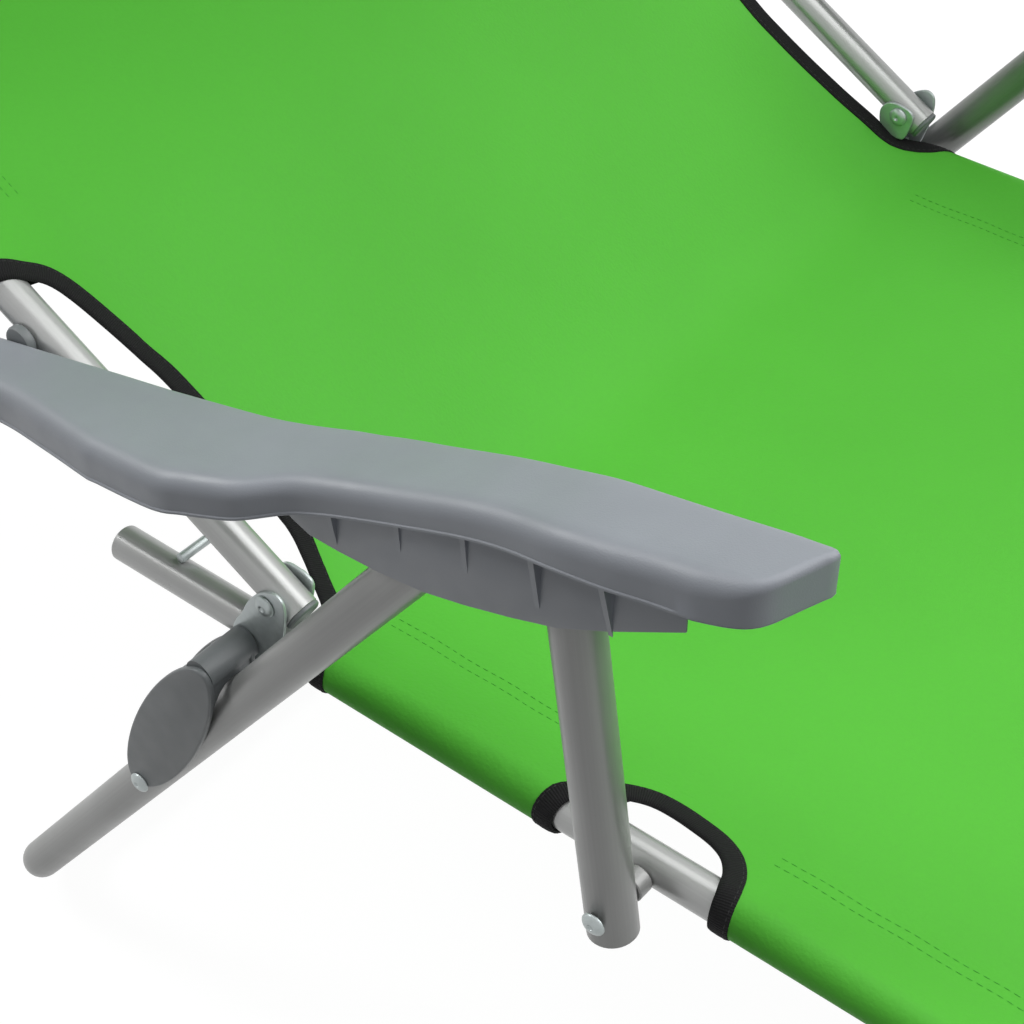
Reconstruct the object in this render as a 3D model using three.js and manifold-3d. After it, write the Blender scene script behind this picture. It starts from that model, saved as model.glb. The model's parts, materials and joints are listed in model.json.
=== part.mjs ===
// A folding sun lounger with armrests and a tilting canopy.
// Millimetres, +Z up, +X towards the feet, +Y towards the sitter's left.
import * as THREE from 'three';
import { mergeVertices } from 'three/addons/utils/BufferGeometryUtils.js';
import Module from 'manifold-3d';

const wasm = await Module();
wasm.setup();

// Driving dimensions: the frame. Heights are above or below the back hinge.
const HINGE_HEIGHT = 339;
const RAIL_SPACING = 536;
const RAIL_DIAMETER = 18;
const LEG_DIAMETER = 22;
const CANOPY_TUBE_DIAMETER = 12;
const TUBE_WALL = 1.2;
const HINGE_RISE = 30;
const RAIL_TAIL = 108;
const SEAT_LENGTH = 500;
const FOOTREST_LENGTH = 540;
const FOOTREST_FALL = 10;
const KNEE_RADIUS = 90;
const BACK_LENGTH = 820;
const BACK_STUB = 12;
const RECLINE = 29.4;
const BOW_RADIUS = 55;
const CROSS_ROD_DIAMETER = 5;
const CROSS_ROD_SETBACK = 67;

// Rear leg, jaws and posts.
const LEG_LEAN = 53.49;
const LEG_LINE = 33.2;
const LEG_BEND_RADIUS = 45;
const LEG_PIVOT_RISE = 114;
const JAW_DIAMETER = 18.8;
const JAW_SPAN = 115;
const JAW_HALF_WIDTH = 18;
const JAW_END_REACH = 6;
const JAW_LEAF = 3.2;
const POST_SETBACK = 205;
const POST_LEAN = 8.4;
const POST_PIVOT_RISE = 136;
const POST_TAIL = 13;
const POST_SPACER_DIAMETER = 13.5;
const TUBE_HEAD = 12;

// Front leg.
const FRONT_LEG_TO_KNEE = 80;
const FRONT_LEG_FORWARD = 100;
const FRONT_LEG_BEND_RADIUS = 40;

// Brackets, pins and feet.
const PLATE = 2;
const BRACKET_RADIUS = 11;
const PIN_DIAMETER = 6;
const PIN_HEAD_DIAMETER = 11;
const PIN_HEAD_HEIGHT = 2.6;
const PIN_DOME = [0.7, 0.8];
const PLUG_DOME = [[1, 0.25], [0.7, 0.55], [0, 0.7]];
const PAD_THICKNESS = 2;
const PAD_LENGTH = 34;
const PAD_SPACING = 420;
const GAP = 0.35;
const CURVE_STEPS = 6;
const BEND_STEP = 22.5;
const PIN_SIDES = 8;
const LAYER_GAP = 8.7;
const STUB_DIAMETER = 18;
const STUB_DISTANCE = 163;
const STUB_LIFT = -2;
const JAW_PLAY = 0.6;
const PAD_SWELL = 1;
const PLUG_REACH = 7;

// Cloth. Cut-outs are half ellipses that open at the rails.
const CLOTH = 1.3;
const CLOTH_GAP = 0.4;
const SEAM_INSET = 38;
const SEAM_WELD = 3;
const CLOTH_SAG = 9;
const HEM_SETBACK = 75;
const CUTOUT_OUTSET = 22;
const HINGE_CUTOUT_CENTRE = -75;
const HINGE_CUTOUT_HALF_LENGTH = 102;
const HINGE_CUTOUT_DEPTH = 57;
const POST_CUTOUT_HALF_LENGTH = 46;
const POST_CUTOUT_DEPTH = 45;
const POST_CUTOUT_SHIFT = 4;
const CLOTH_BREAK = 5;
const CLOTH_BREAK_RADIUS = 25;
const CLOTH_SPLIT = 16.5;
const CLOTH_LANDING = 190;

// Armrest: places along it, each with the height of its top, its width outside the inner web,
// how far it overhangs that web, and the depth of its rim.
const ARMREST_PROFILE = [
  { x: -204, top: 66, width: 22, overhang: 0, rim: 19 },
  { x: -190, top: 70, width: 29, overhang: 0, rim: 19 },
  { x: -157, top: 78, width: 33.5, overhang: 0, rim: 19 },
  { x: -117, top: 87, width: 34, overhang: 0, rim: 19 },
  { x: -78, top: 96, width: 41, overhang: 0, rim: 19 },
  { x: -45, top: 103.4, width: 48, overhang: 0, rim: 19 },
  { x: 2, top: 115, width: 54, overhang: 0, rim: 18.5 },
  { x: 29, top: 122, width: 50.5, overhang: 1, rim: 18 },
  { x: 43, top: 125.3, width: 46, overhang: 3.2, rim: 17.3 },
  { x: 60, top: 129.7, width: 36, overhang: 6.2, rim: 16.4 },
  { x: 72, top: 133, width: 32.5, overhang: 7.5, rim: 16 },
  { x: 91, top: 139.4, width: 30.5, overhang: 8.6, rim: 15.6 },
  { x: 107, top: 145.3, width: 30, overhang: 8, rim: 15.5 },
  { x: 141, top: 158.8, width: 30.5, overhang: 6.4, rim: 15.5 },
  { x: 164, top: 166.7, width: 32, overhang: 5.4, rim: 15.5 },
  { x: 187, top: 174.5, width: 35.5, overhang: 4.2, rim: 16.4 },
  { x: 209, top: 179.8, width: 36, overhang: 3.2, rim: 17.5 },
  { x: 234, top: 185.5, width: 34.7, overhang: 2.3, rim: 18.6 },
  { x: 256, top: 190.2, width: 33, overhang: 2.2, rim: 19 },
  { x: 267, top: 192.8, width: 29, overhang: 1.4, rim: 19 },
  { x: 276, top: 195, width: 12, overhang: 0, rim: 19 },
];
const ARMREST_WALL = 3;
const ARMREST_SHOULDER = 8;
const ARMREST_EDGE = 3;
const ARMREST_EDGE_INSIDE = 0.2;
const SHOULDER_ANGLES = [0, 30, 60, 90];
const WEB_LOWER_EDGE = [
  [40, 112], [53, 101.5], [62, 98], [98, 99], [141, 107.5], [184, 122], [238, 153],
];
const WEB_SIDE_GAP = 0.45;
const WEB_THICKNESS = 2.6;
const GUSSETS = 5;
const GUSSET_THICKNESS = 2.4;
const GUSSET_START = 76;
const GUSSET_PITCH = 33;

// Canopy.
const CANOPY_HUB_TO_HEAD = 180;
const CANOPY_HUB_RADIUS = 19;
const CANOPY_RISE = 310;
const CANOPY_REACH = 430;
const CANOPY_BEND_RADIUS = 210;
const CANOPY_LEAN = 12;
const CANOPY_FALL = 8;
const CANOPY_BOW_RADIUS = 50;
const CANOPY_CLAMP_WALL = 3;
const CANOPY_EYE_GAP = 4;
const CANOPY_EYE_RADIUS = 12;
const CANOPY_SEAM_INSET = 26;
const CANOPY_SAG = 8;
const CANOPY_REAR_BAR = 100;
const CANOPY_CLOTH = 1.2;

// Values that follow from the ones above.
const railRadius = RAIL_DIAMETER / 2;
const legRadius = LEG_DIAMETER / 2;
const railY = RAIL_SPACING / 2;
const legY = railY + railRadius + LAYER_GAP + GAP + legRadius;
const railZ = -HINGE_RISE;
const legBarZ = -HINGE_HEIGHT + PAD_THICKNESS + GAP + legRadius;
const pinRadius = PIN_DIAMETER / 2;
const railFace = railY + railRadius;
const earFace = railFace + CLOTH_GAP + PLATE;
const armInner = legY - legRadius - WEB_SIDE_GAP - ARMREST_WALL;
const jawRadius = JAW_DIAMETER / 2;
const hinge = new THREE.Vector3();
const frontLegX = SEAT_LENGTH - FRONT_LEG_TO_KNEE;
const hubDistance = BACK_LENGTH - CANOPY_HUB_TO_HEAD;

const radians = THREE.MathUtils.degToRad;
const slope = (degrees) => Math.tan(radians(degrees));

// A point on the rear leg's axis, at a height.
const onLeg = (z) => new THREE.Vector3(LEG_LINE + z / slope(LEG_LEAN), 0, z);
// A point on the post's axis, at a height.
const onPost = (z) => new THREE.Vector3(POST_SETBACK - (z - railZ) * slope(POST_LEAN), 0, z);
// A point on the back's plane, at a distance up the back and a height off it.
function onBack(distance, lift = 0) {
  const angle = radians(RECLINE);
  return new THREE.Vector3(
    -distance * Math.cos(angle) + lift * Math.sin(angle), 0,
    distance * Math.sin(angle) + lift * Math.cos(angle));
}

// The jaw turns on the seat rail, where its barrel bears on the leg.
const legLean = radians(LEG_LEAN);
const bearing = legRadius + GAP + jawRadius;
const jawPivot = new THREE.Vector3(
  LEG_LINE - (bearing + HINGE_RISE * Math.cos(legLean)) / Math.sin(legLean), 0, railZ);
const legFoot = jawPivot.clone().add(new THREE.Vector3(Math.sin(legLean), 0, -Math.cos(legLean))
  .multiplyScalar(bearing));
const jawRivet = legFoot.clone().add(new THREE.Vector3(-Math.cos(legLean), 0, -Math.sin(legLean))
  .multiplyScalar(Math.sqrt(JAW_SPAN ** 2 - bearing ** 2)));
const legPivot = onLeg(LEG_PIVOT_RISE);
const postPivot = onPost(railZ);
const armPivot = onPost(POST_PIVOT_RISE);
const frontPivot = new THREE.Vector3(frontLegX, 0,
  railZ - railRadius - PLATE - 2 * GAP - Math.hypot(TUBE_HEAD, legRadius));

// Materials.
const finish = (color, roughness, metalness) =>
  new THREE.MeshStandardMaterial({ color, roughness, metalness });
const silverTube = finish(0xb4b6b6, 0.35, 0.7);
const legTube = finish(0x93938f, 0.45, 0.6);
const zinc = finish(0xa9adac, 0.3, 0.9);
const greyPlastic = finish(0x979ea6, 0.55, 0);
const darkPlastic = finish(0x636868, 0.55, 0);
const greenCloth = finish(0x57bc3d, 0.75, 0);
greenCloth.side = THREE.DoubleSide;

// A path of straight runs and round bends, with rings only where it needs them.
// Its radius is one number, or a list with one for each bend.
class BentPath extends THREE.Curve {
  constructor(corners, bendRadius) {
    super();
    const runs = corners.slice(1).map((point, i) => point.clone().sub(corners[i]).normalize());
    const radii = [bendRadius].flat();
    this.stations = [{ point: corners[0], tangent: runs[0] }];
    for (let i = 1; i < corners.length - 1; i += 1) {
      const radius = radii[(i - 1) % radii.length];
      this.addBend(corners[i], runs[i - 1], runs[i], radius);
    }
    this.stations.push({ point: corners.at(-1), tangent: runs.at(-1) });
  }

  addBend(corner, before, after, bendRadius) {
    const turn = before.angleTo(after);
    const start = corner.clone().addScaledVector(before, -bendRadius * Math.tan(turn / 2));
    const inward = after.clone().addScaledVector(before, -after.dot(before)).normalize();
    const steps = Math.ceil(turn / radians(BEND_STEP));
    for (let k = 0; k <= steps; k += 1) {
      const angle = (turn * k) / steps;
      const point = start.clone().addScaledVector(before, bendRadius * Math.sin(angle))
        .addScaledVector(inward, bendRadius * (1 - Math.cos(angle)));
      const tangent = before.clone().multiplyScalar(Math.cos(angle))
        .addScaledVector(inward, Math.sin(angle));
      this.stations.push({ point, tangent });
    }
  }

  station(share) {
    return this.stations[Math.round(share * (this.stations.length - 1))];
  }

  getPointAt(share, target = new THREE.Vector3()) {
    return target.copy(this.station(share).point);
  }

  getTangentAt(share, target = new THREE.Vector3()) {
    return target.copy(this.station(share).tangent);
  }
}

// A path in an upright plane whose sections stay level from side to side.
class LevelPath extends BentPath {
  computeFrenetFrames() {
    const tangents = this.stations.map(({ tangent }) => tangent);
    const normals = tangents.map(() => new THREE.Vector3(0, 1, 0));
    const binormals = tangents.map((tangent, i) => tangent.clone().cross(normals[i]));
    return { tangents, normals, binormals };
  }
}

// Joins and cuts.
function merged(geometry) {
  const bare = geometry.clone();
  bare.deleteAttribute('normal');
  bare.deleteAttribute('uv');
  return mergeVertices(bare, 1e-3);
}

function toSolid(geometry) {
  const shell = merged(geometry);
  return new wasm.Manifold(new wasm.Mesh({
    numProp: 3,
    vertProperties: new Float32Array(shell.attributes.position.array),
    triVerts: new Uint32Array(shell.index.array),
  }));
}

function toGeometry(solid) {
  const mesh = solid.getMesh();
  const geometry = new THREE.BufferGeometry();
  geometry.setAttribute('position', new THREE.BufferAttribute(mesh.vertProperties, 3));
  return geometry.setIndex(new THREE.BufferAttribute(mesh.triVerts, 1));
}

const cut = (geometry, ...tools) =>
  toGeometry(tools.reduce((solid, tool) => solid.subtract(toSolid(tool)), toSolid(geometry)));
const join = (geometry, ...others) =>
  toGeometry(others.reduce((solid, other) => solid.add(toSolid(other)), toSolid(geometry)));

// The same shape on the other side of the lounger, with its faces still pointing out.
function mirrored(geometry) {
  const copy = merged(geometry).scale(1, -1, 1);
  copy.index.array.reverse();
  return copy;
}

const lounger = new THREE.Group();

function add(name, geometry, material) {
  const faceted = geometry.index ? geometry.toNonIndexed() : geometry;
  faceted.computeVertexNormals();
  const mesh = new THREE.Mesh(faceted, material);
  mesh.name = name;
  lounger.add(mesh);
}

// One piece on the left and its mirror image on the right.
function addPair(name, geometry, material) {
  add(`${name}_left`, geometry, material);
  add(`${name}_right`, mirrored(geometry), material);
}

// Basic shapes. Places are given at the middle of the lounger and moved out by a distance.
const offset = (point, y) => new THREE.Vector3(point.x, y, point.z);

function circle(centre, radius) {
  return new THREE.Shape().absarc(centre.x, centre.z, radius, 0, 2 * Math.PI);
}

function tube(corners, diameter, bendRadius = 0) {
  const section = circle({ x: 0, z: 0 }, diameter / 2);
  const inside = diameter / 2 - TUBE_WALL;
  section.holes.push(new THREE.Path().absarc(0, 0, inside, 0, 2 * Math.PI, true));
  const path = new BentPath(corners, bendRadius);
  return new THREE.ExtrudeGeometry(section, {
    extrudePath: path, steps: path.stations.length - 1, curveSegments: CURVE_STEPS,
  });
}

// A flat plate that stands upright, lengthwise, between two distances from the middle.
function plate(shape, near, far) {
  const geometry = new THREE.ExtrudeGeometry(shape, {
    depth: far - near, bevelEnabled: false, curveSegments: CURVE_STEPS,
  });
  return geometry.rotateX(Math.PI / 2).translate(0, far, 0);
}

// A round bar across the lounger, between two distances from its middle.
function bar(centre, near, far, radius) {
  const geometry = new THREE.CylinderGeometry(radius, radius, far - near, 2 * CURVE_STEPS);
  return geometry.translate(centre.x, (near + far) / 2, centre.z);
}

const bore = (centre, near = 0, far = 2 * legY) => bar(centre, near, far, pinRadius + GAP);

// A pin across the lounger, with a flat head at its near end and a domed one at its far end.
function pin(centre, near, far, { nearHead = true, farHead = true } = {}) {
  const head = PIN_HEAD_DIAMETER / 2;
  const back = near - PIN_HEAD_HEIGHT;
  const profile = nearHead ? [[0, back], [head, back], [head, near]] : [[0, near]];
  profile.push([pinRadius, near], [pinRadius, far]);
  if (farHead) {
    const [across, high] = PIN_DOME;
    profile.push([head, far], [head * across, far + PIN_HEAD_HEIGHT * high]);
    profile.push([0, far + PIN_HEAD_HEIGHT]);
  } else {
    profile.push([0, far]);
  }
  const points = profile.map(([radius, y]) => new THREE.Vector2(radius, y));
  return new THREE.LatheGeometry(points, PIN_SIDES).translate(centre.x, 0, centre.z);
}

// A domed plug that closes a tube's end and reaches a little way inside it.
function plug(end, outward, diameter) {
  const radius = diameter / 2;
  const inside = radius - TUBE_WALL - GAP;
  const profile = [
    [0, -PLUG_REACH], [inside, -PLUG_REACH], [inside, GAP], [radius, GAP],
    ...PLUG_DOME.map(([across, high]) => [across * radius, high * radius]),
  ];
  const points = profile.map(([r, y]) => new THREE.Vector2(r, y));
  const geometry = new THREE.LatheGeometry(points, 2 * CURVE_STEPS);
  const turn = new THREE.Quaternion().setFromUnitVectors(new THREE.Vector3(0, 1, 0), outward);
  return geometry.applyQuaternion(turn).translate(end.x, end.y, end.z);
}

// Two round ends and the straight sides between them.
function linkShape(a, b, radius) {
  const along = Math.atan2(b.z - a.z, b.x - a.x);
  const shape = new THREE.Shape();
  shape.absarc(a.x, a.z, radius, along + Math.PI / 2, along + 1.5 * Math.PI);
  shape.absarc(b.x, b.z, radius, along - Math.PI / 2, along + Math.PI / 2);
  return shape;
}

// A solid through a row of sections that all have the same number of points.
function loft(sections) {
  const count = sections[0].length;
  const last = sections.length - 1;
  const points = sections.flat();
  const triangles = [];
  for (let i = 0; i < last; i += 1) {
    for (let k = 0; k < count; k += 1) {
      const next = (k + 1) % count;
      const [a, b] = [i * count + k, i * count + next];
      triangles.push(a, b + count, b, a, a + count, b + count);
    }
  }
  for (let k = 1; k < count - 1; k += 1) {
    triangles.push(0, k, k + 1);
    triangles.push(last * count, last * count + k + 1, last * count + k);
  }
  return new THREE.BufferGeometry().setFromPoints(points).setIndex(triangles);
}

// Seat frame: side rails with a knee bend, the bow at the feet and the rod at the rear.
const knee = new THREE.Vector3(SEAT_LENGTH, 0, railZ);
const footFall = radians(FOOTREST_FALL);
const towardsFeet = new THREE.Vector3(Math.cos(footFall), 0, -Math.sin(footFall));
const onFootrest = (distance) => knee.clone().addScaledVector(towardsFeet, distance);
const railRear = new THREE.Vector3(-RAIL_TAIL, 0, railZ);
const bowReach = BOW_RADIUS + railRadius;

// The bent end of a frame, from one side rail round to the other.
function bow(start, direction, y, diameter, radius) {
  const near = start.clone().addScaledVector(direction, GAP);
  const far = start.clone().addScaledVector(direction, radius);
  const corners = [offset(near, -y), offset(far, -y), offset(far, y), offset(near, y)];
  return tube(corners, diameter, radius - GAP);
}

function addSeatFrame() {
  const footEnd = onFootrest(FOOTREST_LENGTH - bowReach);
  const corners = [railRear, knee, footEnd].map((point) => offset(point, railY));
  const rail = tube(corners, RAIL_DIAMETER, KNEE_RADIUS);
  addPair('seat_rail', cut(rail, bore(jawPivot), bore(postPivot)), silverTube);
  addPair('rail_plug', plug(corners[0], new THREE.Vector3(-1, 0, 0), RAIL_DIAMETER), silverTube);
  add('foot_bow', bow(footEnd, towardsFeet, railY, RAIL_DIAMETER, BOW_RADIUS), silverTube);
  const rodRadius = CROSS_ROD_DIAMETER / 2;
  const rodZ = railZ + railRadius + GAP + rodRadius;
  const rodCentre = new THREE.Vector3(-CROSS_ROD_SETBACK, 0, rodZ);
  add('rear_cross_rod', bar(rodCentre, -railY, railY, rodRadius), zinc);
}

// The hinge bracket wraps the seat rail from below and holds the back rail between its ears.
function addHinges() {
  const wrap = railRadius + CLOTH_GAP;
  const ear = linkShape(hinge, jawPivot, wrap + PLATE);
  const inner = plate(ear, railY - wrap - PLATE, railY - wrap);
  const outer = plate(ear, railY + wrap, railY + wrap + PLATE);
  const floor = new THREE.BoxGeometry(wrap, 2 * (wrap + PLATE), PLATE);
  floor.translate(jawPivot.x, railY, railZ - wrap - PLATE / 2);
  const body = join(floor, inner, outer);
  addPair('hinge_bracket', cut(body, bore(hinge), bore(jawPivot)), zinc);
  addPair('hinge_pin', pin(hinge, railY - wrap - PLATE - GAP, earFace + GAP), zinc);
  const barrelEnd = legY + legRadius;
  addPair('jaw_pin', pin(jawPivot, railY - wrap - PLATE - GAP, barrelEnd, { farHead: false }), zinc);
}

// Front posts, each bolted to its seat rail through a spacer.
function addPosts() {
  const outside = legY + legRadius + GAP;
  addPair('post_bolt', pin(postPivot, railY - railRadius - GAP, outside), zinc);
  const spacer = bar(postPivot, railFace + GAP, railFace + LAYER_GAP, POST_SPACER_DIAMETER / 2);
  addPair('post_spacer', cut(spacer, bore(postPivot)), greyPlastic);
  const axis = armPivot.clone().sub(postPivot).normalize();
  const foot = offset(postPivot.clone().addScaledVector(axis, -POST_TAIL), legY);
  const head = offset(armPivot.clone().addScaledVector(axis, TUBE_HEAD), legY);
  addPair('post', cut(tube([foot, head], LEG_DIAMETER), bore(postPivot), bore(armPivot)), legTube);
  addPair('post_plug', plug(foot, axis.clone().negate(), LEG_DIAMETER), legTube);
}

// The pad on a ground bar: a clip round the bar with a flat sole.
function padShape(centre) {
  const inside = legRadius + GAP;
  const outside = inside + PAD_THICKNESS + PAD_SWELL;
  const sole = inside + PAD_THICKNESS;
  const edge = Math.asin(sole / outside);
  const shape = new THREE.Shape();
  shape.absarc(centre.x, centre.z, outside, -edge, Math.PI + edge);
  shape.closePath();
  shape.holes.push(new THREE.Path().absarc(centre.x, centre.z, inside, 0, 2 * Math.PI, true));
  return shape;
}

// A leg frame: two bent side tubes, the bar between them on the ground and its pads.
function addLegFrame(name, pivot, ground, y, bendRadius) {
  const axis = pivot.clone().sub(ground).normalize();
  const head = offset(pivot.clone().addScaledVector(axis, TUBE_HEAD), y);
  const barEnd = y - bendRadius - GAP;
  const corners = [head, offset(ground, y), offset(ground, barEnd)];
  addPair(name, cut(tube(corners, LEG_DIAMETER, bendRadius), bore(pivot)), legTube);
  const ends = [offset(ground, -barEnd + GAP), offset(ground, barEnd - GAP)];
  add(`${name}_bar`, tube(ends, LEG_DIAMETER), legTube);
  const padStart = (PAD_SPACING - PAD_LENGTH) / 2;
  addPair(`${name}_pad`, plate(padShape(ground), padStart, padStart + PAD_LENGTH), darkPlastic);
}

// Jaws: each turns on its seat rail, and its two leaves straddle the rear leg.
function addJaws() {
  const middle = jawPivot.clone().add(jawRivet).multiplyScalar(0.5);
  const turn = Math.atan2(jawRivet.z - jawPivot.z, jawRivet.x - jawPivot.x);
  const leaf = new THREE.Shape().absellipse(middle.x, middle.z,
    JAW_SPAN / 2 + JAW_END_REACH, JAW_HALF_WIDTH, 0, 2 * Math.PI, false, turn);
  const play = legRadius + JAW_PLAY;
  const near = plate(leaf, legY - play - JAW_LEAF, legY - play);
  const far = plate(leaf, legY + play, legY + play + JAW_LEAF);
  const barrel = bar(jawPivot, earFace + GAP, legY + play + JAW_LEAF / 2, jawRadius);
  const socket = bore(jawPivot, 0, legY + legRadius + GAP);
  const rivetHole = bore(jawRivet, legY);
  addPair('jaw', cut(join(barrel, near, far), socket, rivetHole), darkPlastic);
  const rivet = pin(jawRivet, legY + play, legY + play + JAW_LEAF + GAP, { nearHead: false });
  addPair('jaw_rivet', rivet, zinc);
}

// The front leg hangs between two ears under each seat rail.
function addFrontLeg() {
  const wrap = legRadius + GAP;
  const top = railZ - railRadius - GAP;
  const ear = new THREE.Shape().moveTo(frontPivot.x + BRACKET_RADIUS, top);
  ear.lineTo(frontPivot.x - BRACKET_RADIUS, top);
  ear.absarc(frontPivot.x, frontPivot.z, BRACKET_RADIUS, Math.PI, 2 * Math.PI);
  const inner = plate(ear, railY - wrap - PLATE, railY - wrap);
  const outer = plate(ear, railY + wrap, railY + wrap + PLATE);
  const floor = new THREE.BoxGeometry(2 * BRACKET_RADIUS, 2 * (wrap + PLATE), PLATE);
  floor.translate(frontPivot.x, railY, top - PLATE / 2);
  addPair('front_leg_bracket', cut(join(floor, inner, outer), bore(frontPivot)), zinc);
  const far = railY + wrap + PLATE + GAP;
  addPair('front_leg_pin', pin(frontPivot, railY - wrap - PLATE - GAP, far), zinc);
  const ground = new THREE.Vector3(frontLegX + FRONT_LEG_FORWARD, 0, legBarZ);
  addLegFrame('front_leg', frontPivot, ground, railY, FRONT_LEG_BEND_RADIUS);
}

// Armrests: a hollow moulding with a waved edge, on two webs with gussets outside.
// The moulding's measures at a place between two rows of the list.
function armrestAt(x) {
  const i = ARMREST_PROFILE.findIndex((row) => row.x >= x);
  const [a, b] = [ARMREST_PROFILE[i - 1], ARMREST_PROFILE[i]];
  const share = (x - a.x) / (b.x - a.x);
  const between = (measure) => a[measure] + (b[measure] - a[measure]) * share;
  return { top: between('top'), width: between('width'), rim: between('rim') };
}

// One section of the moulding: upright sides, a small inner edge and a rounded shoulder.
function armrestSection({ x, top, width, overhang }, wall, depth) {
  const shoulder = ARMREST_SHOULDER - wall;
  const edge = Math.max(ARMREST_EDGE - wall, ARMREST_EDGE_INSIDE);
  const near = armInner - overhang + wall;
  const far = armInner + width - wall;
  const roof = top - wall;
  const corners = [[near, top - depth], [near, roof - edge], [near + edge, roof]];
  for (const angle of SHOULDER_ANGLES.map(radians)) {
    corners.push([far - shoulder * (1 - Math.sin(angle)), roof - shoulder * (1 - Math.cos(angle))]);
  }
  corners.push([far, top - depth]);
  return corners.map(([y, z]) => new THREE.Vector3(x, y, z));
}

function armrestShell() {
  const outside = loft(ARMREST_PROFILE.map((row) => armrestSection(row, 0, row.rim)));
  const rear = ARMREST_PROFILE[0].x + ARMREST_WALL;
  const front = ARMREST_PROFILE.at(-1).x - ARMREST_WALL;
  const hollow = ARMREST_PROFILE.filter(({ x, width }) =>
    x > rear && x < front && width > 2 * ARMREST_SHOULDER + ARMREST_WALL);
  return cut(outside, loft(hollow.map((row) => armrestSection(row, ARMREST_WALL, 2 * row.rim))));
}

function webShape() {
  const shape = new THREE.Shape(WEB_LOWER_EDGE.map(([x, z]) => new THREE.Vector2(x, z)));
  for (const [x] of WEB_LOWER_EDGE.toReversed()) {
    shape.lineTo(x, armrestAt(x).top - ARMREST_WALL / 2);
  }
  return shape;
}

function webBottom(x) {
  const i = WEB_LOWER_EDGE.findIndex(([edgeX]) => edgeX >= x);
  const [[x0, z0], [x1, z1]] = [WEB_LOWER_EDGE[i - 1], WEB_LOWER_EDGE[i]];
  return z0 + ((z1 - z0) * (x - x0)) / (x1 - x0);
}

function gusset(x, webFace) {
  const { top: height, width, rim: depth } = armrestAt(x);
  const top = height - ARMREST_WALL / 2;
  const rim = height - depth + GUSSET_THICKNESS;
  const reach = armInner + width - ARMREST_WALL / 2;
  const tip = webBottom(x) + GUSSET_THICKNESS;
  const half = GUSSET_THICKNESS / 2;
  const section = (place) => [[webFace, tip], [webFace, top], [reach, top], [reach, rim]]
    .map(([y, z]) => new THREE.Vector3(place, y, z));
  return loft([section(x - half), section(x + half)]);
}

function addArmrests() {
  const nearWeb = plate(webShape(), armInner, armInner + ARMREST_WALL);
  const farFace = legY + legRadius + WEB_SIDE_GAP;
  const farWeb = plate(webShape(), farFace, farFace + WEB_THICKNESS);
  const gussets = Array.from({ length: GUSSETS }, (_, i) =>
    gusset(GUSSET_START + i * GUSSET_PITCH, farFace + WEB_THICKNESS / 2));
  const body = join(armrestShell(), nearWeb, farWeb, ...gussets);
  const blind = farFace + WEB_THICKNESS / 2;
  const armrest = cut(body, bore(legPivot, 0, blind), bore(armPivot, 0, blind));
  addPair('armrest', armrest, greyPlastic);
  const heads = { farHead: false };
  addPair('arm_post_pin', pin(armPivot, armInner - GAP, farFace, heads), zinc);
  addPair('arm_leg_pin', pin(legPivot, armInner - GAP, farFace, heads), zinc);
}

// Back frame: side rails from the hinge to the bow at the head.
function addBackFrame() {
  const end = onBack(-BACK_STUB);
  const head = onBack(BACK_LENGTH - bowReach);
  const rail = tube([offset(end, railY), offset(head, railY)], RAIL_DIAMETER);
  addPair('back_rail', cut(rail, bore(hinge)), silverTube);
  const towardsHead = onBack(1);
  const downwards = towardsHead.clone().negate();
  addPair('back_plug', plug(offset(end, railY), downwards, RAIL_DIAMETER), darkPlastic);
  add('head_bow', bow(head, towardsHead, railY, RAIL_DIAMETER, BOW_RADIUS), silverTube);
  const stub = onBack(STUB_DISTANCE, STUB_LIFT);
  addPair('arm_stub', bar(stub, railFace + GAP, armInner - GAP, STUB_DIAMETER / 2), greyPlastic);
}

// Cloth: a panel between two sleeves that wrap the tubes beside it.
function clothSection(y, tubeRadius, inset, sag, thickness) {
  const outer = tubeRadius + CLOTH_GAP + thickness;
  const inner = tubeRadius + CLOTH_GAP;
  const half = thickness / 2;
  const seam = y - inset;
  const wide = Math.PI - Math.acos(outer / inset);
  const throat = inset - SEAM_WELD * thickness;
  const narrow = Math.PI - Math.acos(inner / throat);
  const shape = new THREE.Shape().moveTo(-seam, half);
  shape.quadraticCurveTo(0, half - 2 * sag, seam, half);
  shape.absarc(y, 0, outer, wide, -wide, true);
  shape.lineTo(seam, -half);
  shape.quadraticCurveTo(0, -half - 2 * sag, -seam, -half);
  shape.absarc(-y, 0, outer, Math.PI + wide, Math.PI - wide, true);
  for (const hand of [-1, 1]) {
    const middle = hand > 0 ? 0 : Math.PI;
    const sleeve = new THREE.Path().absarc(hand * y, 0, inner, middle - narrow, middle + narrow);
    sleeve.lineTo(hand * (y - throat), 0);
    shape.holes.push(sleeve);
  }
  return shape;
}

function clothSweep(section, corners, bendRadius) {
  const path = new LevelPath(corners, bendRadius);
  return new THREE.ExtrudeGeometry(section, {
    extrudePath: path, steps: path.stations.length - 1, curveSegments: CURVE_STEPS,
  });
}

// An upright cutter for a cut-out: an ellipse centred just outside the rail.
function cutout(x, halfLength, depth) {
  const shape = new THREE.Shape().absellipse(x, railY + CUTOUT_OUTSET, halfLength, depth,
    0, 2 * Math.PI);
  const geometry = new THREE.ExtrudeGeometry(shape, {
    depth: 2 * HINGE_HEIGHT, bevelEnabled: false, curveSegments: 2 * CURVE_STEPS,
  });
  return geometry.translate(0, 0, -HINGE_HEIGHT);
}

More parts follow.
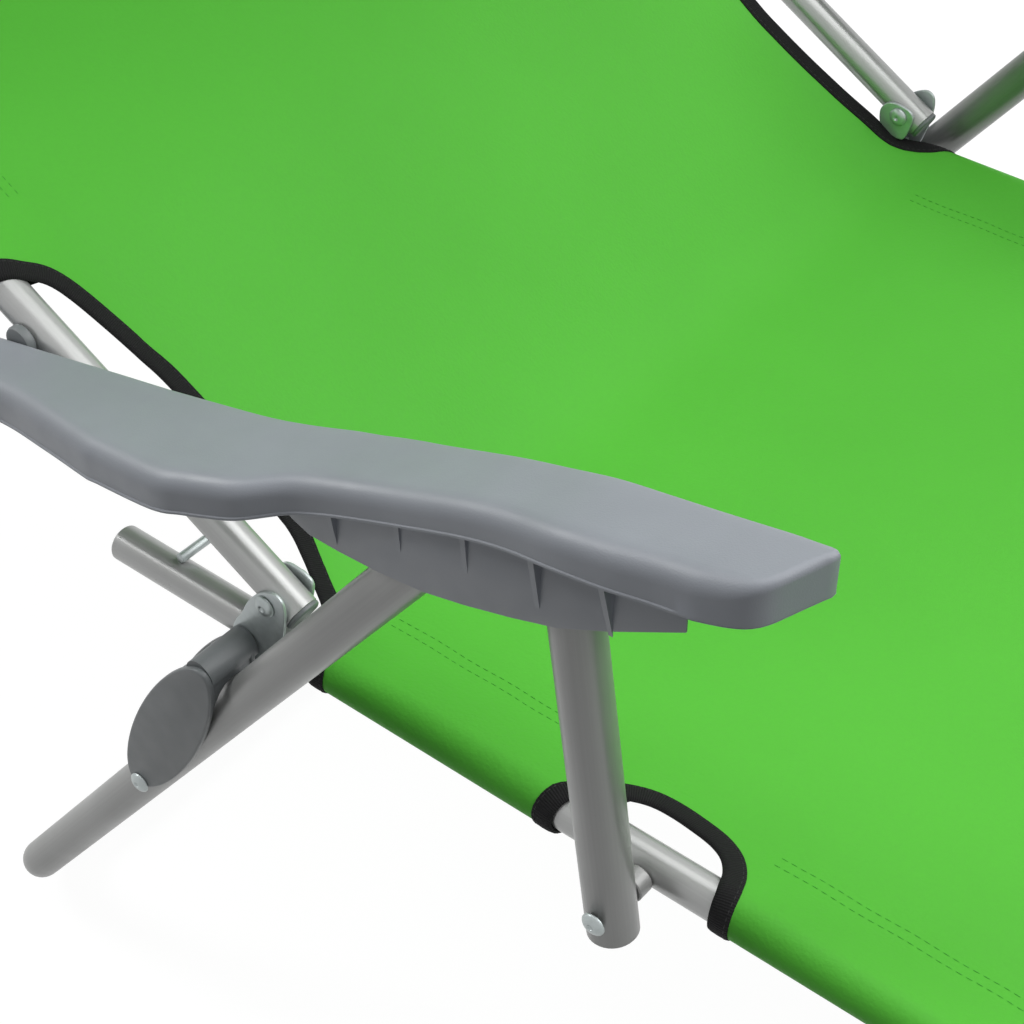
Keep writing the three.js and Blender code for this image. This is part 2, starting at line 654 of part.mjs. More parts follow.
function addSling() {
  const seatSection = clothSection(railY, railRadius, SEAM_INSET, CLOTH_SAG, CLOTH);
  const landing = onBack(CLOTH_LANDING);
  const turn = new THREE.Vector3(CLOTH_BREAK, 0, railZ);
  const climb = landing.clone().sub(turn).normalize();
  const split = turn.clone().addScaledVector(climb, CLOTH_SPLIT);
  const hem = onFootrest(FOOTREST_LENGTH - HEM_SETBACK);
  const openings = [
    cutout(HINGE_CUTOUT_CENTRE, HINGE_CUTOUT_HALF_LENGTH, HINGE_CUTOUT_DEPTH),
    cutout(POST_SETBACK - POST_CUTOUT_SHIFT, POST_CUTOUT_HALF_LENGTH, POST_CUTOUT_DEPTH),
    cutout(frontLegX, POST_CUTOUT_HALF_LENGTH, POST_CUTOUT_DEPTH),
  ];
  const cutters = openings.flatMap((opening) => [opening, mirrored(opening)]);
  const bends = [CLOTH_BREAK_RADIUS, KNEE_RADIUS];
  const seat = clothSweep(seatSection, [split, turn, knee, hem], bends);
  add('sling_seat', cut(seat, ...cutters), greenCloth);
  const lower = split.clone().addScaledVector(climb, 2 * GAP);
  const upper = onBack(BACK_LENGTH - HEM_SETBACK);
  const back = clothSweep(seatSection, [upper, landing, lower], CLOTH_BREAK_RADIUS);
  add('sling_back', cut(back, cutters[0], cutters[1]), greenCloth);
}

// Canopy: a bent frame on two hubs, with one curved sheet over it.
function addCanopy() {
  const hub = onBack(hubDistance);
  const sleeve = railRadius + CLOTH_GAP + CLOTH + GAP;
  const clampFace = railY + sleeve + CANOPY_CLAMP_WALL;
  const armY = clampFace + CANOPY_EYE_GAP + CANOPY_TUBE_DIAMETER / 2;
  const ends = [onBack(hubDistance - CANOPY_HUB_RADIUS),
    onBack(hubDistance + CANOPY_HUB_RADIUS)].map((point) => offset(point, railY));
  const ring = circle({ x: 0, z: 0 }, sleeve + CANOPY_CLAMP_WALL);
  ring.holes.push(new THREE.Path().absarc(0, 0, sleeve, 0, 2 * Math.PI, true));
  const collar = new THREE.ExtrudeGeometry(ring, {
    extrudePath: new BentPath(ends, 0), steps: 1, curveSegments: 2 * CURVE_STEPS,
  });
  const inboard = new THREE.BoxGeometry(8 * sleeve, 4 * sleeve, 8 * sleeve);
  inboard.translate(hub.x, railY - 2 * sleeve, hub.z);
  const clamp = cut(collar, inboard);
  const bossStart = clampFace - CANOPY_CLAMP_WALL / 2;
  const boss = bar(hub, bossStart, clampFace + CANOPY_CLAMP_WALL, CANOPY_HUB_RADIUS);
  const studEnd = armY + CANOPY_TUBE_DIAMETER / 2 + GAP;
  const stud = bar(hub, clampFace, studEnd + PLATE / 2, pinRadius);
  const cap = bar(hub, studEnd, studEnd + 2 * PLATE, CANOPY_HUB_RADIUS - 2 * PLATE);
  addPair('canopy_hub', join(clamp, boss, stud, cap), darkPlastic);

  const lean = radians(CANOPY_LEAN);
  const fall = radians(CANOPY_FALL);
  const upwards = new THREE.Vector3(Math.sin(lean), 0, Math.cos(lean));
  const forwards = new THREE.Vector3(Math.cos(fall), 0, -Math.sin(fall));
  const shoulder = hub.clone().addScaledVector(upwards, CANOPY_RISE);
  const frontEnd = shoulder.clone().addScaledVector(forwards, CANOPY_REACH - CANOPY_BOW_RADIUS);
  const armStart = hub.clone().addScaledVector(upwards, CANOPY_EYE_RADIUS / 2);
  const armCorners = [armStart, shoulder, frontEnd].map((point) => offset(point, armY));
  const arm = tube(armCorners, CANOPY_TUBE_DIAMETER, CANOPY_BEND_RADIUS);
  const eyeHalf = CANOPY_TUBE_DIAMETER / 2 - GAP;
  const eye = plate(circle(hub, CANOPY_EYE_RADIUS), armY - eyeHalf, armY + eyeHalf);
  addPair('canopy_arm', cut(join(arm, eye), bore(hub)), legTube);
  add('canopy_bow', bow(frontEnd, forwards, armY, CANOPY_TUBE_DIAMETER, CANOPY_BOW_RADIUS), legTube);
  const tubeRadius = CANOPY_TUBE_DIAMETER / 2;
  const rearBar = hub.clone().addScaledVector(upwards, CANOPY_REAR_BAR);
  const barEnd = armY - tubeRadius - GAP;
  const barEnds = [offset(rearBar, -barEnd), offset(rearBar, barEnd)];
  add('canopy_rear_bar', tube(barEnds, CANOPY_TUBE_DIAMETER), legTube);

  const section = clothSection(armY, tubeRadius, CANOPY_SEAM_INSET, CANOPY_SAG, CANOPY_CLOTH);
  const hem = hub.clone().addScaledVector(upwards, CANOPY_REAR_BAR + CANOPY_TUBE_DIAMETER);
  const sheet = clothSweep(section, [hem, shoulder, frontEnd], CANOPY_BEND_RADIUS);
  add('canopy_cloth', sheet, greenCloth);
}

addSeatFrame();
addHinges();
addPosts();
addLegFrame('rear_leg', legPivot, onLeg(legBarZ), legY, LEG_BEND_RADIUS);
addJaws();
addFrontLeg();
addArmrests();
addBackFrame();
addSling();
addCanopy();

// The origin is on the ground, in the middle of the lounger's length and width.
const extent = new THREE.Box3().setFromObject(lounger);
lounger.position.set(-(extent.min.x + extent.max.x) / 2, 0, HINGE_HEIGHT);
lounger.updateMatrixWorld(true);

export default lounger;
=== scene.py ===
"""Dresses the frame of a folding sun lounger: sling, tubes, armrests, jaws, fittings and canopy."""
import json
import math

import bmesh
import bpy
import numpy as np
from mathutils import Matrix, Vector
from mathutils.geometry import delaunay_2d_cdt


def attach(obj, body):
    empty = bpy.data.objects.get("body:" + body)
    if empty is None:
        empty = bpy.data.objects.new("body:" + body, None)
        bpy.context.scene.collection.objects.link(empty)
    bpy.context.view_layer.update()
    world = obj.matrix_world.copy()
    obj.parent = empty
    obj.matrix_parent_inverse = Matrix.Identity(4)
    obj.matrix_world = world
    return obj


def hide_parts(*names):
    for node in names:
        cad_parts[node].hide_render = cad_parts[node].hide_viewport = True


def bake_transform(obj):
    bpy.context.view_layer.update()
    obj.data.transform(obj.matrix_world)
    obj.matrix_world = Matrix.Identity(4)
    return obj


bl_info = {
    "name": "Sun lounger with canopy",
    "version": (1, 0, 0),
    "blender": (4, 5, 0),
    "location": "View3D > Sidebar > Lounger",
    "description": "Makes the cloth, tubes, armrests and fittings of a folding sun lounger",
    "category": "Object",
}

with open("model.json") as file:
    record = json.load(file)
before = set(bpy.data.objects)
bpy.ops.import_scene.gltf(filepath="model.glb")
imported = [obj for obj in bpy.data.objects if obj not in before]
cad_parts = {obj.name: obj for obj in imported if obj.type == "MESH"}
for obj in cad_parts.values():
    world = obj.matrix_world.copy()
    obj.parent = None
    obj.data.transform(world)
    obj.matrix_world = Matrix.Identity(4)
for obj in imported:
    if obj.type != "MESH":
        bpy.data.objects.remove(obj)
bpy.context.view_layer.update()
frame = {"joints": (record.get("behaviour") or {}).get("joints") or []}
JOINTS = {joint["name"]: Vector(joint["pos_m"]) for joint in frame["joints"]}
HINGE = JOINTS["back_fold"]
MM = 0.001
HANDS = ("left", "right")

# Sizes of the solid frame, in millimetres and degrees from the back hinge.
RAIL_Y = 268.0
RAIL_RADIUS = 9.0
RAIL_Z = -30.0
LEG_RADIUS = 11.0
LEG_Y = 297.05
CANOPY_RADIUS = 6.0
TUBE_WALL = 1.2
TUBE_DEPTH = 16.0
TUBE_GAP = 0.4
CLOTH_ANGLE = 60.0
RAIL_TAIL = 105.5
SEAT_LENGTH = 500.0
FOOTREST_LENGTH = 540.0
FOOTREST_FALL = math.radians(10)
KNEE_RADIUS = 90.0
BACK_LENGTH = 820.0
BACK_STUB = 12.0
RECLINE = math.radians(29.4)
BOW_RADIUS = 55.0
HEM_SETBACK = 75.0
CLOTH_BREAK = 5.0
CLOTH_LANDING = 190.0
CLOTH_BREAK_RADIUS = 60.0
CLOTH_LANDING_RADIUS = 300.0
TUBE_HEAD = 12.0
POST_TAIL = 12.5
LEG_BEND_RADIUS = 45.0
FRONT_LEG_BEND_RADIUS = 40.0
FRONT_LEG_FORWARD = 100.0
GROUND_BAR_Z = -325.65
REAR_BAR_X = -207.856
PAD_SPACING = 420.0
PAD_LENGTH = 34.0
ARM_INNER = 282.6
EAR_FACE = 279.4
CANOPY_HUB = 640.0
CANOPY_RISE = 310.0
CANOPY_REACH = 430.0
CANOPY_LEAN = math.radians(12)
CANOPY_FALL = math.radians(8)
CANOPY_BEND_RADIUS = 210.0
CANOPY_BOW_RADIUS = 50.0
CANOPY_REAR_BAR = 100.0
CANOPY_Y = 292.05
CANOPY_EYE_HALF = 5.65
CANOPY_WALL = 1.0
CROSS_ROD_X, CROSS_ROD_RADIUS, CROSS_ROD_LIFT = -67.0, 2.5, 2.85
ARM_STUB_UP, ARM_STUB_LIFT = 163.0, -2.0
CAMERA_PLACE = (515.5, -751.1, 659.5)
CAMERA_AZIMUTH = math.radians(38.59)
CAMERA_ELEVATION = math.radians(41.16)
CAMERA_ROLL = math.radians(0.34)
CAMERA_LENS = 75.93
CAMERA_SENSOR = 36.0
JAW_RIVET = Vector((-65.44, 0, -133.26))
ACROSS = (0, 1, 0)


def spot(x, y, z):
    """A place given in millimetres from the back hinge, in metres in the model's frame."""
    return HINGE + Vector((x, y, z)) * MM


def joint_place(name):
    """A joint's place in millimetres from the back hinge, in the middle of the lounger."""
    place = (JOINTS[name] - HINGE) / MM
    return Vector((place.x, 0, place.z))


def on_back(distance, lift=0.0):
    """A place on the back's middle plane, up the back from the hinge and off it."""
    along, off = math.cos(RECLINE), math.sin(RECLINE)
    return Vector((-distance * along + lift * off, 0, distance * off + lift * along))


def on_footrest(distance):
    """A place on the footrest's middle plane, from the knee."""
    return Vector((SEAT_LENGTH + distance * math.cos(FOOTREST_FALL), 0,
                   RAIL_Z - distance * math.sin(FOOTREST_FALL)))


def across(place, y):
    """The same place moved out across the lounger."""
    return Vector((place.x, y, place.z))


def both_sides(places, y):
    """Corners along one side of the lounger and back along the other."""
    return [across(place, y) for place in places] + [across(place, -y) for place in places[::-1]]


# Shading. A material is written as expressions on its nodes' outputs.
class Signal:
    """One output of a node, with arithmetic."""

    def __init__(self, wiring, socket):
        self.wiring, self.socket = wiring, socket

    def math(self, operation, *values):
        return self.wiring.node("ShaderNodeMath", {"operation": operation}, dict(enumerate(values)))

    def __add__(self, other):
        return self.math("ADD", self, other)

    __radd__ = __add__

    def __sub__(self, other):
        return self.math("SUBTRACT", self, other)

    def __rsub__(self, other):
        return self.math("SUBTRACT", other, self)

    def __mul__(self, other):
        return self.math("MULTIPLY", self, other)

    __rmul__ = __mul__

    def clamped(self):
        return self.math("MINIMUM", self.math("MAXIMUM", self, 0.0), 1.0)


class Wiring:
    """Nodes that are added to a tree one by one."""

    def __init__(self, tree):
        self.tree = tree
        tree.nodes.clear()

    def node(self, kind, settings=None, sockets=None, output=0):
        made = self.tree.nodes.new(kind)
        for key, value in (settings or {}).items():
            setattr(made, key, value)
        for key, value in (sockets or {}).items():
            if isinstance(value, Signal):
                self.tree.links.new(value.socket, made.inputs[key])
            else:
                made.inputs[key].default_value = value
        return Signal(self, made.outputs[output]) if made.outputs else None

    def white_rays(self):
        """1 on rays that show the background: from the camera, and by way of metal or glass."""
        rays = [self.node("ShaderNodeLightPath", output=f"Is {kind} Ray")
                for kind in ("Camera", "Glossy", "Transmission")]
        return (rays[0] + rays[1] + rays[2]).clamped()


class Recipe(Wiring):
    """A material that is built node by node."""

    def __init__(self, name, colour):
        self.material = bpy.data.materials.new(name)
        self.material.use_nodes = True
        self.material.diffuse_color = (*colour[:3], 1.0)
        self.colour = colour
        super().__init__(self.material.node_tree)

    def place(self, kind="Object"):
        return self.node("ShaderNodeTexCoord", output=kind)

    def stretched(self, place, scale):
        return self.node("ShaderNodeMapping", None, {"Vector": place, "Scale": scale})

    def noise(self, place, scale, detail=2.0, roughness=0.5):
        return self.node("ShaderNodeTexNoise", None, {
            "Vector": place, "Scale": scale, "Detail": detail, "Roughness": roughness})

    def cells(self, place, scale, feature="F1"):
        return self.node("ShaderNodeTexVoronoi", {"feature": feature}, {
            "Vector": place, "Scale": scale})

    def ramp(self, value, start=0.0, end=1.0, low=0.3, high=0.7):
        return self.node("ShaderNodeMapRange", None, {
            "Value": value, "From Min": low, "From Max": high, "To Min": start, "To Max": end})

    def blend(self, factor, first, second):
        return self.node("ShaderNodeMix", {"data_type": "RGBA"}, {
            "Factor": factor, 6: first, 7: second}, 2)

    def shade(self, factor):
        """The material's own colour made darker or lighter."""
        return (*[min(1.0, channel * factor) for channel in self.colour[:3]], 1.0)

    def shades(self, factor, dark, pale):
        return self.blend(factor, self.shade(dark), self.shade(pale))

    def bump(self, height, strength, distance, normal=None):
        sockets = {"Height": height, "Strength": strength, "Distance": distance}
        if normal:
            sockets["Normal"] = normal
        return self.node("ShaderNodeBump", None, sockets)

    def surface(self, **sockets):
        named = {key.replace("_", " "): value for key, value in sockets.items()}
        return self.finished(self.node("ShaderNodeBsdfPrincipled", None, named))

    def finished(self, shader):
        self.node("ShaderNodeOutputMaterial", None, {"Surface": shader})
        return self.material


def cloth_finish(name, colour, grain):
    """Coated cloth with a fine pebbled grain and a soft, slightly uneven colour."""
    recipe = Recipe(name, colour)
    place = recipe.place()
    patches = recipe.noise(place, 5.0, 3.0)
    pebbles = recipe.cells(place, grain, "SMOOTH_F1")
    creases = recipe.noise(place, grain * 0.55, 3.0, 0.6)
    threads = recipe.noise(recipe.stretched(place, (1.0, 0.25, 1.0)), grain * 2.2, 1.0)
    tone = recipe.ramp(patches, low=0.32, high=0.68) * 0.7 + recipe.ramp(creases) * 0.3
    body = recipe.shades(tone, 0.93, 1.06)
    height = pebbles * -0.5 + creases * 0.6 + threads * 0.2
    normal = recipe.bump(height, 0.34, 0.0006)
    wide = recipe.noise(place, 14.0, 2.0)
    normal = recipe.bump(wide, 0.12, 0.002, normal)
    return recipe.surface(
        Base_Color=body, Roughness=recipe.ramp(creases, 0.5, 0.64), Normal=normal,
        Specular_IOR_Level=0.2)


def binding_finish(name, colour):
    """Black ribbed tape. Its ribs run across it and follow its length."""
    recipe = Recipe(name, colour)
    along = recipe.place("UV")
    rows = recipe.node("ShaderNodeTexWave", {"wave_type": "BANDS", "bands_direction": "X"}, {
        "Vector": along, "Scale": 0.33, "Distortion": 0.35, "Detail": 1.0, "Detail Scale": 2.0}, 1)
    fuzz = recipe.noise(along, 2.6, 3.0, 0.7)
    tone = rows * 0.55 + fuzz * 0.45
    body = recipe.shades(recipe.ramp(tone, low=0.2, high=0.8), 0.6, 1.4)
    normal = recipe.bump(rows * 0.8 + fuzz * 0.4, 0.5, 0.0006)
    return recipe.surface(Base_Color=body, Roughness=recipe.ramp(fuzz, 0.72, 0.9),
                          Normal=normal, Specular_IOR_Level=0.2)


def thread_finish(name, colour):
    """Twisted sewing thread."""
    recipe = Recipe(name, colour)
    place = recipe.place()
    fibres = recipe.noise(place, 2600.0, 2.0)
    body = recipe.shades(recipe.ramp(fibres), 0.8, 1.15)
    return recipe.surface(Base_Color=body, Roughness=recipe.ramp(fibres, 0.6, 0.8),
                          Normal=recipe.bump(fibres, 0.4, 0.0002))


def coat_finish(name, colour, roughness, metal):
    """Satin metallic coat on drawn tube: fine flakes and faint lines along the tube."""
    recipe = Recipe(name, colour)
    place = recipe.place()
    along = recipe.place("UV")
    drawn = recipe.noise(recipe.stretched(along, (0.004, 0.9, 1.0)), 1.0, 3.0)
    flakes = recipe.cells(place, 2600.0)
    patches = recipe.noise(place, 24.0, 4.0, 0.6)
    tone = recipe.ramp(patches) * 0.6 + recipe.ramp(drawn, low=0.35, high=0.65) * 0.4
    body = recipe.shades(tone, 0.92, 1.07)
    gloss = recipe.ramp(patches, roughness - 0.05, roughness + 0.07)
    normal = recipe.bump(drawn * 0.5 + flakes * 0.25, 0.06, 0.0003)
    return recipe.surface(Base_Color=body, Roughness=gloss, Metallic=metal, Normal=normal,
                          Coat_Weight=0.12, Coat_Roughness=0.25)


def zinc_finish(name, colour):
    """Bright zinc plate: cloudy colour, pressed dimples and small scratches."""
    recipe = Recipe(name, colour)
    place = recipe.place()
    clouds = recipe.noise(place, 240.0, 4.0, 0.6)
    scratches = recipe.noise(recipe.stretched(place, (1.0, 1.0, 9.0)), 420.0, 2.0)
    body = recipe.shades(recipe.ramp(clouds), 0.92, 1.06)
    gloss = recipe.ramp(clouds, 0.3, 0.4)
    normal = recipe.bump(clouds * 0.7 + scratches * 0.3, 0.02, 0.0003)
    return recipe.surface(Base_Color=body, Roughness=gloss, Metallic=0.45, Normal=normal)


def plastic_finish(name, colour, roughness, grain, edge):
    """Moulded plastic: a fine pitted grain, soft clouds and paler worn edges."""
    recipe = Recipe(name, colour)
    place = recipe.place()
    pits = recipe.cells(place, grain)
    clouds = recipe.noise(place, 16.0, 3.0, 0.55)
    wear = recipe.noise(place, 90.0, 3.0)
    pointed = recipe.node("ShaderNodeNewGeometry", output="Pointiness")
    worn = recipe.ramp(pointed, low=0.52, high=0.60) * recipe.ramp(wear, low=0.35, high=0.65)
    worn = worn.clamped() * edge
    body = recipe.shades(recipe.ramp(clouds), 0.95, 1.05)
    pale = recipe.blend(worn, body, recipe.shade(1.6))
    gloss = recipe.ramp(wear, roughness - 0.04, roughness + 0.05)
    normal = recipe.bump(pits * 0.6 + wear * 0.3, 0.16, 0.0004)
    return recipe.surface(Base_Color=pale, Roughness=gloss, Normal=normal, Specular_IOR_Level=0.5)


# Shapes. A shape gathers points in millimetres from the back hinge, with faces that point out.
class Shape:
    """The points, faces and tape-measure coordinates of one piece."""

    def __init__(self):
        self.points, self.faces, self.measure = [], [], []

    def add(self, points, faces, measure=None):
        first = len(self.points)
        self.points += [Vector(point) for point in points]
        self.faces += [[first + i for i in face] for face in faces]
        self.measure += list(measure or [(point[0], point[1] + point[2]) for point in points])
        return self

    def join(self, other):
        return self.add(other.points, other.faces, other.measure)

    def mirrored(self):
        """The same shape on the other side of the lounger."""
        return Shape().add([(p.x, -p.y, p.z) for p in self.points],
                           [face[::-1] for face in self.faces], self.measure)

    def piece(self, name, finish, angle=35.0):
        mesh = bpy.data.meshes.new(name)
        mesh.from_pydata([spot(*point) for point in self.points], [], self.faces)
        mesh.materials.append(finish)
        layer = mesh.uv_layers.new(name="measure")
        for loop in mesh.loops:
            layer.data[loop.index].uv = self.measure[loop.vertex_index]
        smooth(mesh, angle)
        return linked(name, mesh)


def linked(name, data):
    """A new object in the scene."""
    made = bpy.data.objects.new(name, data)
    bpy.context.scene.collection.objects.link(made)
    return made


def smooth(mesh, angle=35.0):
    mesh.validate()
    mesh.polygons.foreach_set("use_smooth", [True] * len(mesh.polygons))
    mesh.set_sharp_from_angle(angle=math.radians(angle))
    mesh.update()


def settle(piece, body, slot, *nodes):
    """Puts a finished piece on its body and hides the solids that it stands for. Its slot is not
    used.
    """
    if nodes:
        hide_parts(*nodes)
    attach(piece, body)
    return piece


def pair(shape, name, finish, body, slot, *nodes, angle=35.0):
    """The piece on the left and its mirror image on the right."""
    for hand, half in zip(HANDS, (shape, shape.mirrored())):
        made = half.piece(f"{name}_{hand}", finish, angle)
        settle(made, body, slot, *[f"{node}_{hand}" for node in nodes])


def finished(piece):
    """Applies a piece's modifiers to its mesh."""
    graph = bpy.context.evaluated_depsgraph_get()
    mesh = bpy.data.meshes.new_from_object(piece.evaluated_get(graph))
    piece.modifiers.clear()
    piece.data = mesh
    return piece


def bent(corners, radii, step=6.0):
    """Points along straight runs with a round bend at each inner corner."""
    corners = [Vector(corner) for corner in corners]
    points = [corners[0]]
    for i, radius in enumerate(radii):
        before = (corners[i + 1] - corners[i]).normalized()
        after = (corners[i + 2] - corners[i + 1]).normalized()
        turn = before.angle(after)
        if turn < 1e-4:
            continue
        start = corners[i + 1] - before * radius * math.tan(turn / 2)
        inward = (after - before * after.dot(before)).normalized()
        count = max(2, math.ceil(math.degrees(turn) / step))
        for k in range(count + 1):
            angle = turn * k / count
            points.append(start + before * radius * math.sin(angle)
                          + inward * radius * (1 - math.cos(angle)))
    points.append(corners[-1])
    return points


def directions(points):
    """The direction of a path at each of its points."""
    return [(after - before).normalized()
            for before, after in zip(points[:1] + points, points[1:] + points[-1:])]


def bands(rows, size, around=False):
    """The faces between rings of points. The last ring meets the first one if it goes around."""
    faces = []
    for i in range(rows if around else rows - 1):
        here, there = i * size, (i + 1) % rows * size
        for k in range(size):
            m = (k + 1) % size
            faces.append((here + k, here + m, there + m, there + k))
    return faces


def closed_bands(rows, size):
    """The faces between rings of points, with the first and the last ring filled in."""
    last = (rows - 1) * size
    ends = [tuple(reversed(range(size))), tuple(range(last, last + size))]
    return bands(rows, size) + ends


def ring(centre, side, other, radius, sides):
    """Points round a centre, in the plane of two directions."""
    angles = [2 * math.pi * k / sides for k in range(sides)]
    return [centre + (side * math.cos(a) + other * math.sin(a)) * radius for a in angles]


def round_measure(length, radius, sides):
    """Tape-measure coordinates for a ring: the distance along, and round from its seam."""
    return [(length, abs(k - sides / 2) / sides * 2 * math.pi * radius) for k in range(sides)]


def pipe(points, radius, wall=TUBE_WALL, sides=36, ends=("cut", "cut"), dome=0.3):
    """A tube along a path. An end is cut square and open, or closed with a low dome."""
    ways = directions(points)
    normal = ways[0].orthogonal().normalized()
    stations, walked = [], 0.0
    for i, (point, way) in enumerate(zip(points, ways)):
        if i:
            normal = ways[i - 1].rotation_difference(way) @ normal
            walked += (point - points[i - 1]).length
        stations.append((point, way, normal.copy(), radius, walked))

    def rounded(station, outward):
        point, way, side, _, length = station
        angles = [math.radians(18 * k) for k in range(1, 6)]
        return [(point + way * outward * radius * dome * math.sin(angle), way, side,
                 max(0.02, radius * math.cos(angle)), length) for angle in angles]

    def hollow(station, outward):
        point, way, side, _, length = station
        inner = radius - wall
        return [(point + way * outward * lift, way, side, size, length) for lift, size in (
            (0.25, radius - 0.3), (0.25, inner + 0.2), (-0.3, inner), (-TUBE_DEPTH, inner),
            (-TUBE_DEPTH, 0.02))]

    maker = {"cut": hollow, "dome": rounded}
    head, tail = maker[ends[0]](stations[0], -1), maker[ends[1]](stations[-1], 1)
    vertices, measure = [], []
    for point, way, side, size, length in head[::-1] + stations + tail:
        vertices += ring(point, side, way.cross(side), size, sides)
        measure += round_measure(length, radius, sides)
    return Shape().add(vertices, closed_bands(len(vertices) // sides, sides), measure)


def turned(profile, base, axis, sides=40):
    """A round piece: a list of (radius, height) turned about an axis through a place."""
    axis = Vector(axis).normalized()
    side = axis.orthogonal().normalized()
    other = axis.cross(side)
    vertices, measure = [], []
    for radius, height in profile:
        vertices += ring(Vector(base) + axis * height, side, other, max(radius, 0.01), sides)
        measure += round_measure(height, radius, sides)
    return Shape().add(vertices, closed_bands(len(profile), sides), measure)


def gathered(sheet, measure=None):
    """The shape that a bmesh holds. Its faces are turned outwards first."""
    bmesh.ops.recalc_face_normals(sheet, faces=sheet.faces)
    sheet.verts.index_update()
    made = Shape().add([v.co.copy() for v in sheet.verts],
                       [[v.index for v in face.verts] for face in sheet.faces], measure)
    sheet.free()
    return made


def outward(shape, weld=False):
    """Turns a closed shape's faces outwards. A weld first joins the points that coincide."""
    sheet = bmesh.new()
    vertices = [sheet.verts.new(point) for point in shape.points]
    for face in shape.faces:
        if len(set(face)) > 2:
            sheet.faces.new([vertices[i] for i in face])
    if weld:
        bmesh.ops.remove_doubles(sheet, verts=sheet.verts, dist=0.02)
    return gathered(sheet, None if weld else shape.measure)


def slab(outline, near, far, bevel=0.6, steps=3):
    """A plate that stands upright and lengthwise, with its edges rounded."""
    sheet = bmesh.new()
    floor = sheet.faces.new([sheet.verts.new((x, near, z)) for x, z in outline])
    made = bmesh.ops.extrude_face_region(sheet, geom=[floor])
    top = [item for item in made["geom"] if isinstance(item, bmesh.types.BMVert)]
    bmesh.ops.translate(sheet, verts=top, vec=(0, far - near, 0))
    bmesh.ops.recalc_face_normals(sheet, faces=sheet.faces)
    rim = [edge for edge in sheet.edges if abs(edge.verts[0].co.y - edge.verts[1].co.y) < 1e-6]
    bmesh.ops.bevel(sheet, geom=rim, offset=bevel, segments=steps, profile=0.5, affect="EDGES")
    return gathered(sheet)


def curve_through(knots, closed=False, spacing=2.0):
    """A smooth curve through knots, as evenly spaced points."""
    knots = [np.array(knot, float) for knot in knots]
    count = len(knots)
    spans = count if closed else count - 1
    fine = []
    for i in range(spans):
        if closed:
            a, b, c, d = (knots[(i + k) % count] for k in (-1, 0, 1, 2))
        else:
            b, c = knots[i], knots[i + 1]
            a = knots[i - 1] if i else 2 * b - c
            d = knots[i + 2] if i + 2 < count else 2 * c - b
        for t in np.linspace(0, 1, 24, endpoint=False):
            fine.append(0.5 * (2 * b + (c - a) * t + (2 * a - 5 * b + 4 * c - d) * t * t
                               + (3 * b - a - 3 * c + d) * t ** 3))
    fine.append(knots[0] if closed else knots[-1])
    fine = np.array(fine)
    lengths = np.concatenate([[0], np.cumsum(np.linalg.norm(np.diff(fine, axis=0), axis=1))])
    steps = max(8, round(lengths[-1] / spacing))
    places = np.linspace(0, lengths[-1], steps + 1)
    if closed:
        places = places[:-1]
    return np.stack([np.interp(places, lengths, fine[:, k]) for k in range(fine.shape[1])], 1)


def inside(points, loop):
    """Which of the points lie inside a closed loop."""
    x, y = points[:, 0], points[:, 1]
    result = np.zeros(len(points), bool)
    for (x0, y0), (x1, y1) in zip(loop, np.roll(loop, -1, 0)):
        crosses = (y0 > y) != (y1 > y)
        slope = (x1 - x0) / (y1 - y0) if y1 != y0 else 0.0
        result ^= crosses & (x < x0 + (y - y0) * slope)
    return result


def twice_area(loop):
    """Twice the area in a closed loop, below zero where the loop runs clockwise."""
    ahead = np.roll(loop, -1, 0)
    return float(np.sum(loop[:, 0] * ahead[:, 1] - ahead[:, 0] * loop[:, 1]))


def sideways(loop):
    """The outward direction at each point of a closed loop."""
    way = np.roll(loop, -1, 0) - np.roll(loop, 1, 0)
    way /= np.linalg.norm(way, axis=1)[:, None]
    return np.stack([way[:, 1], -way[:, 0]], 1) * (1 if twice_area(loop) > 0 else -1)


def grow(loop, distance):
    """A closed loop moved outwards."""
    return loop + sideways(loop) * distance


def filled(border, grid, holes=()):
    """The points and triangles of a flat sheet inside a border, with its holes left open."""
    points, edges = [], []
    for loop in (border, *holes):
        first = len(points)
        points += [Vector(p) for p in loop]
        edges += [(first + i, first + (i + 1) % len(loop)) for i in range(len(loop))]
    points += [Vector(p) for p in grid]
    flat, _, faces, *_ = delaunay_2d_cdt(points, edges, [], 0, 1e-4)
    middles = np.array([sum((flat[i] for i in face), Vector((0, 0))) / len(face)
                        for face in faces])
    wanted = inside(middles, border)
    for loop in holes:
        wanted &= ~inside(middles, loop)
    return flat, [list(face) for face, good in zip(faces, wanted) if good]


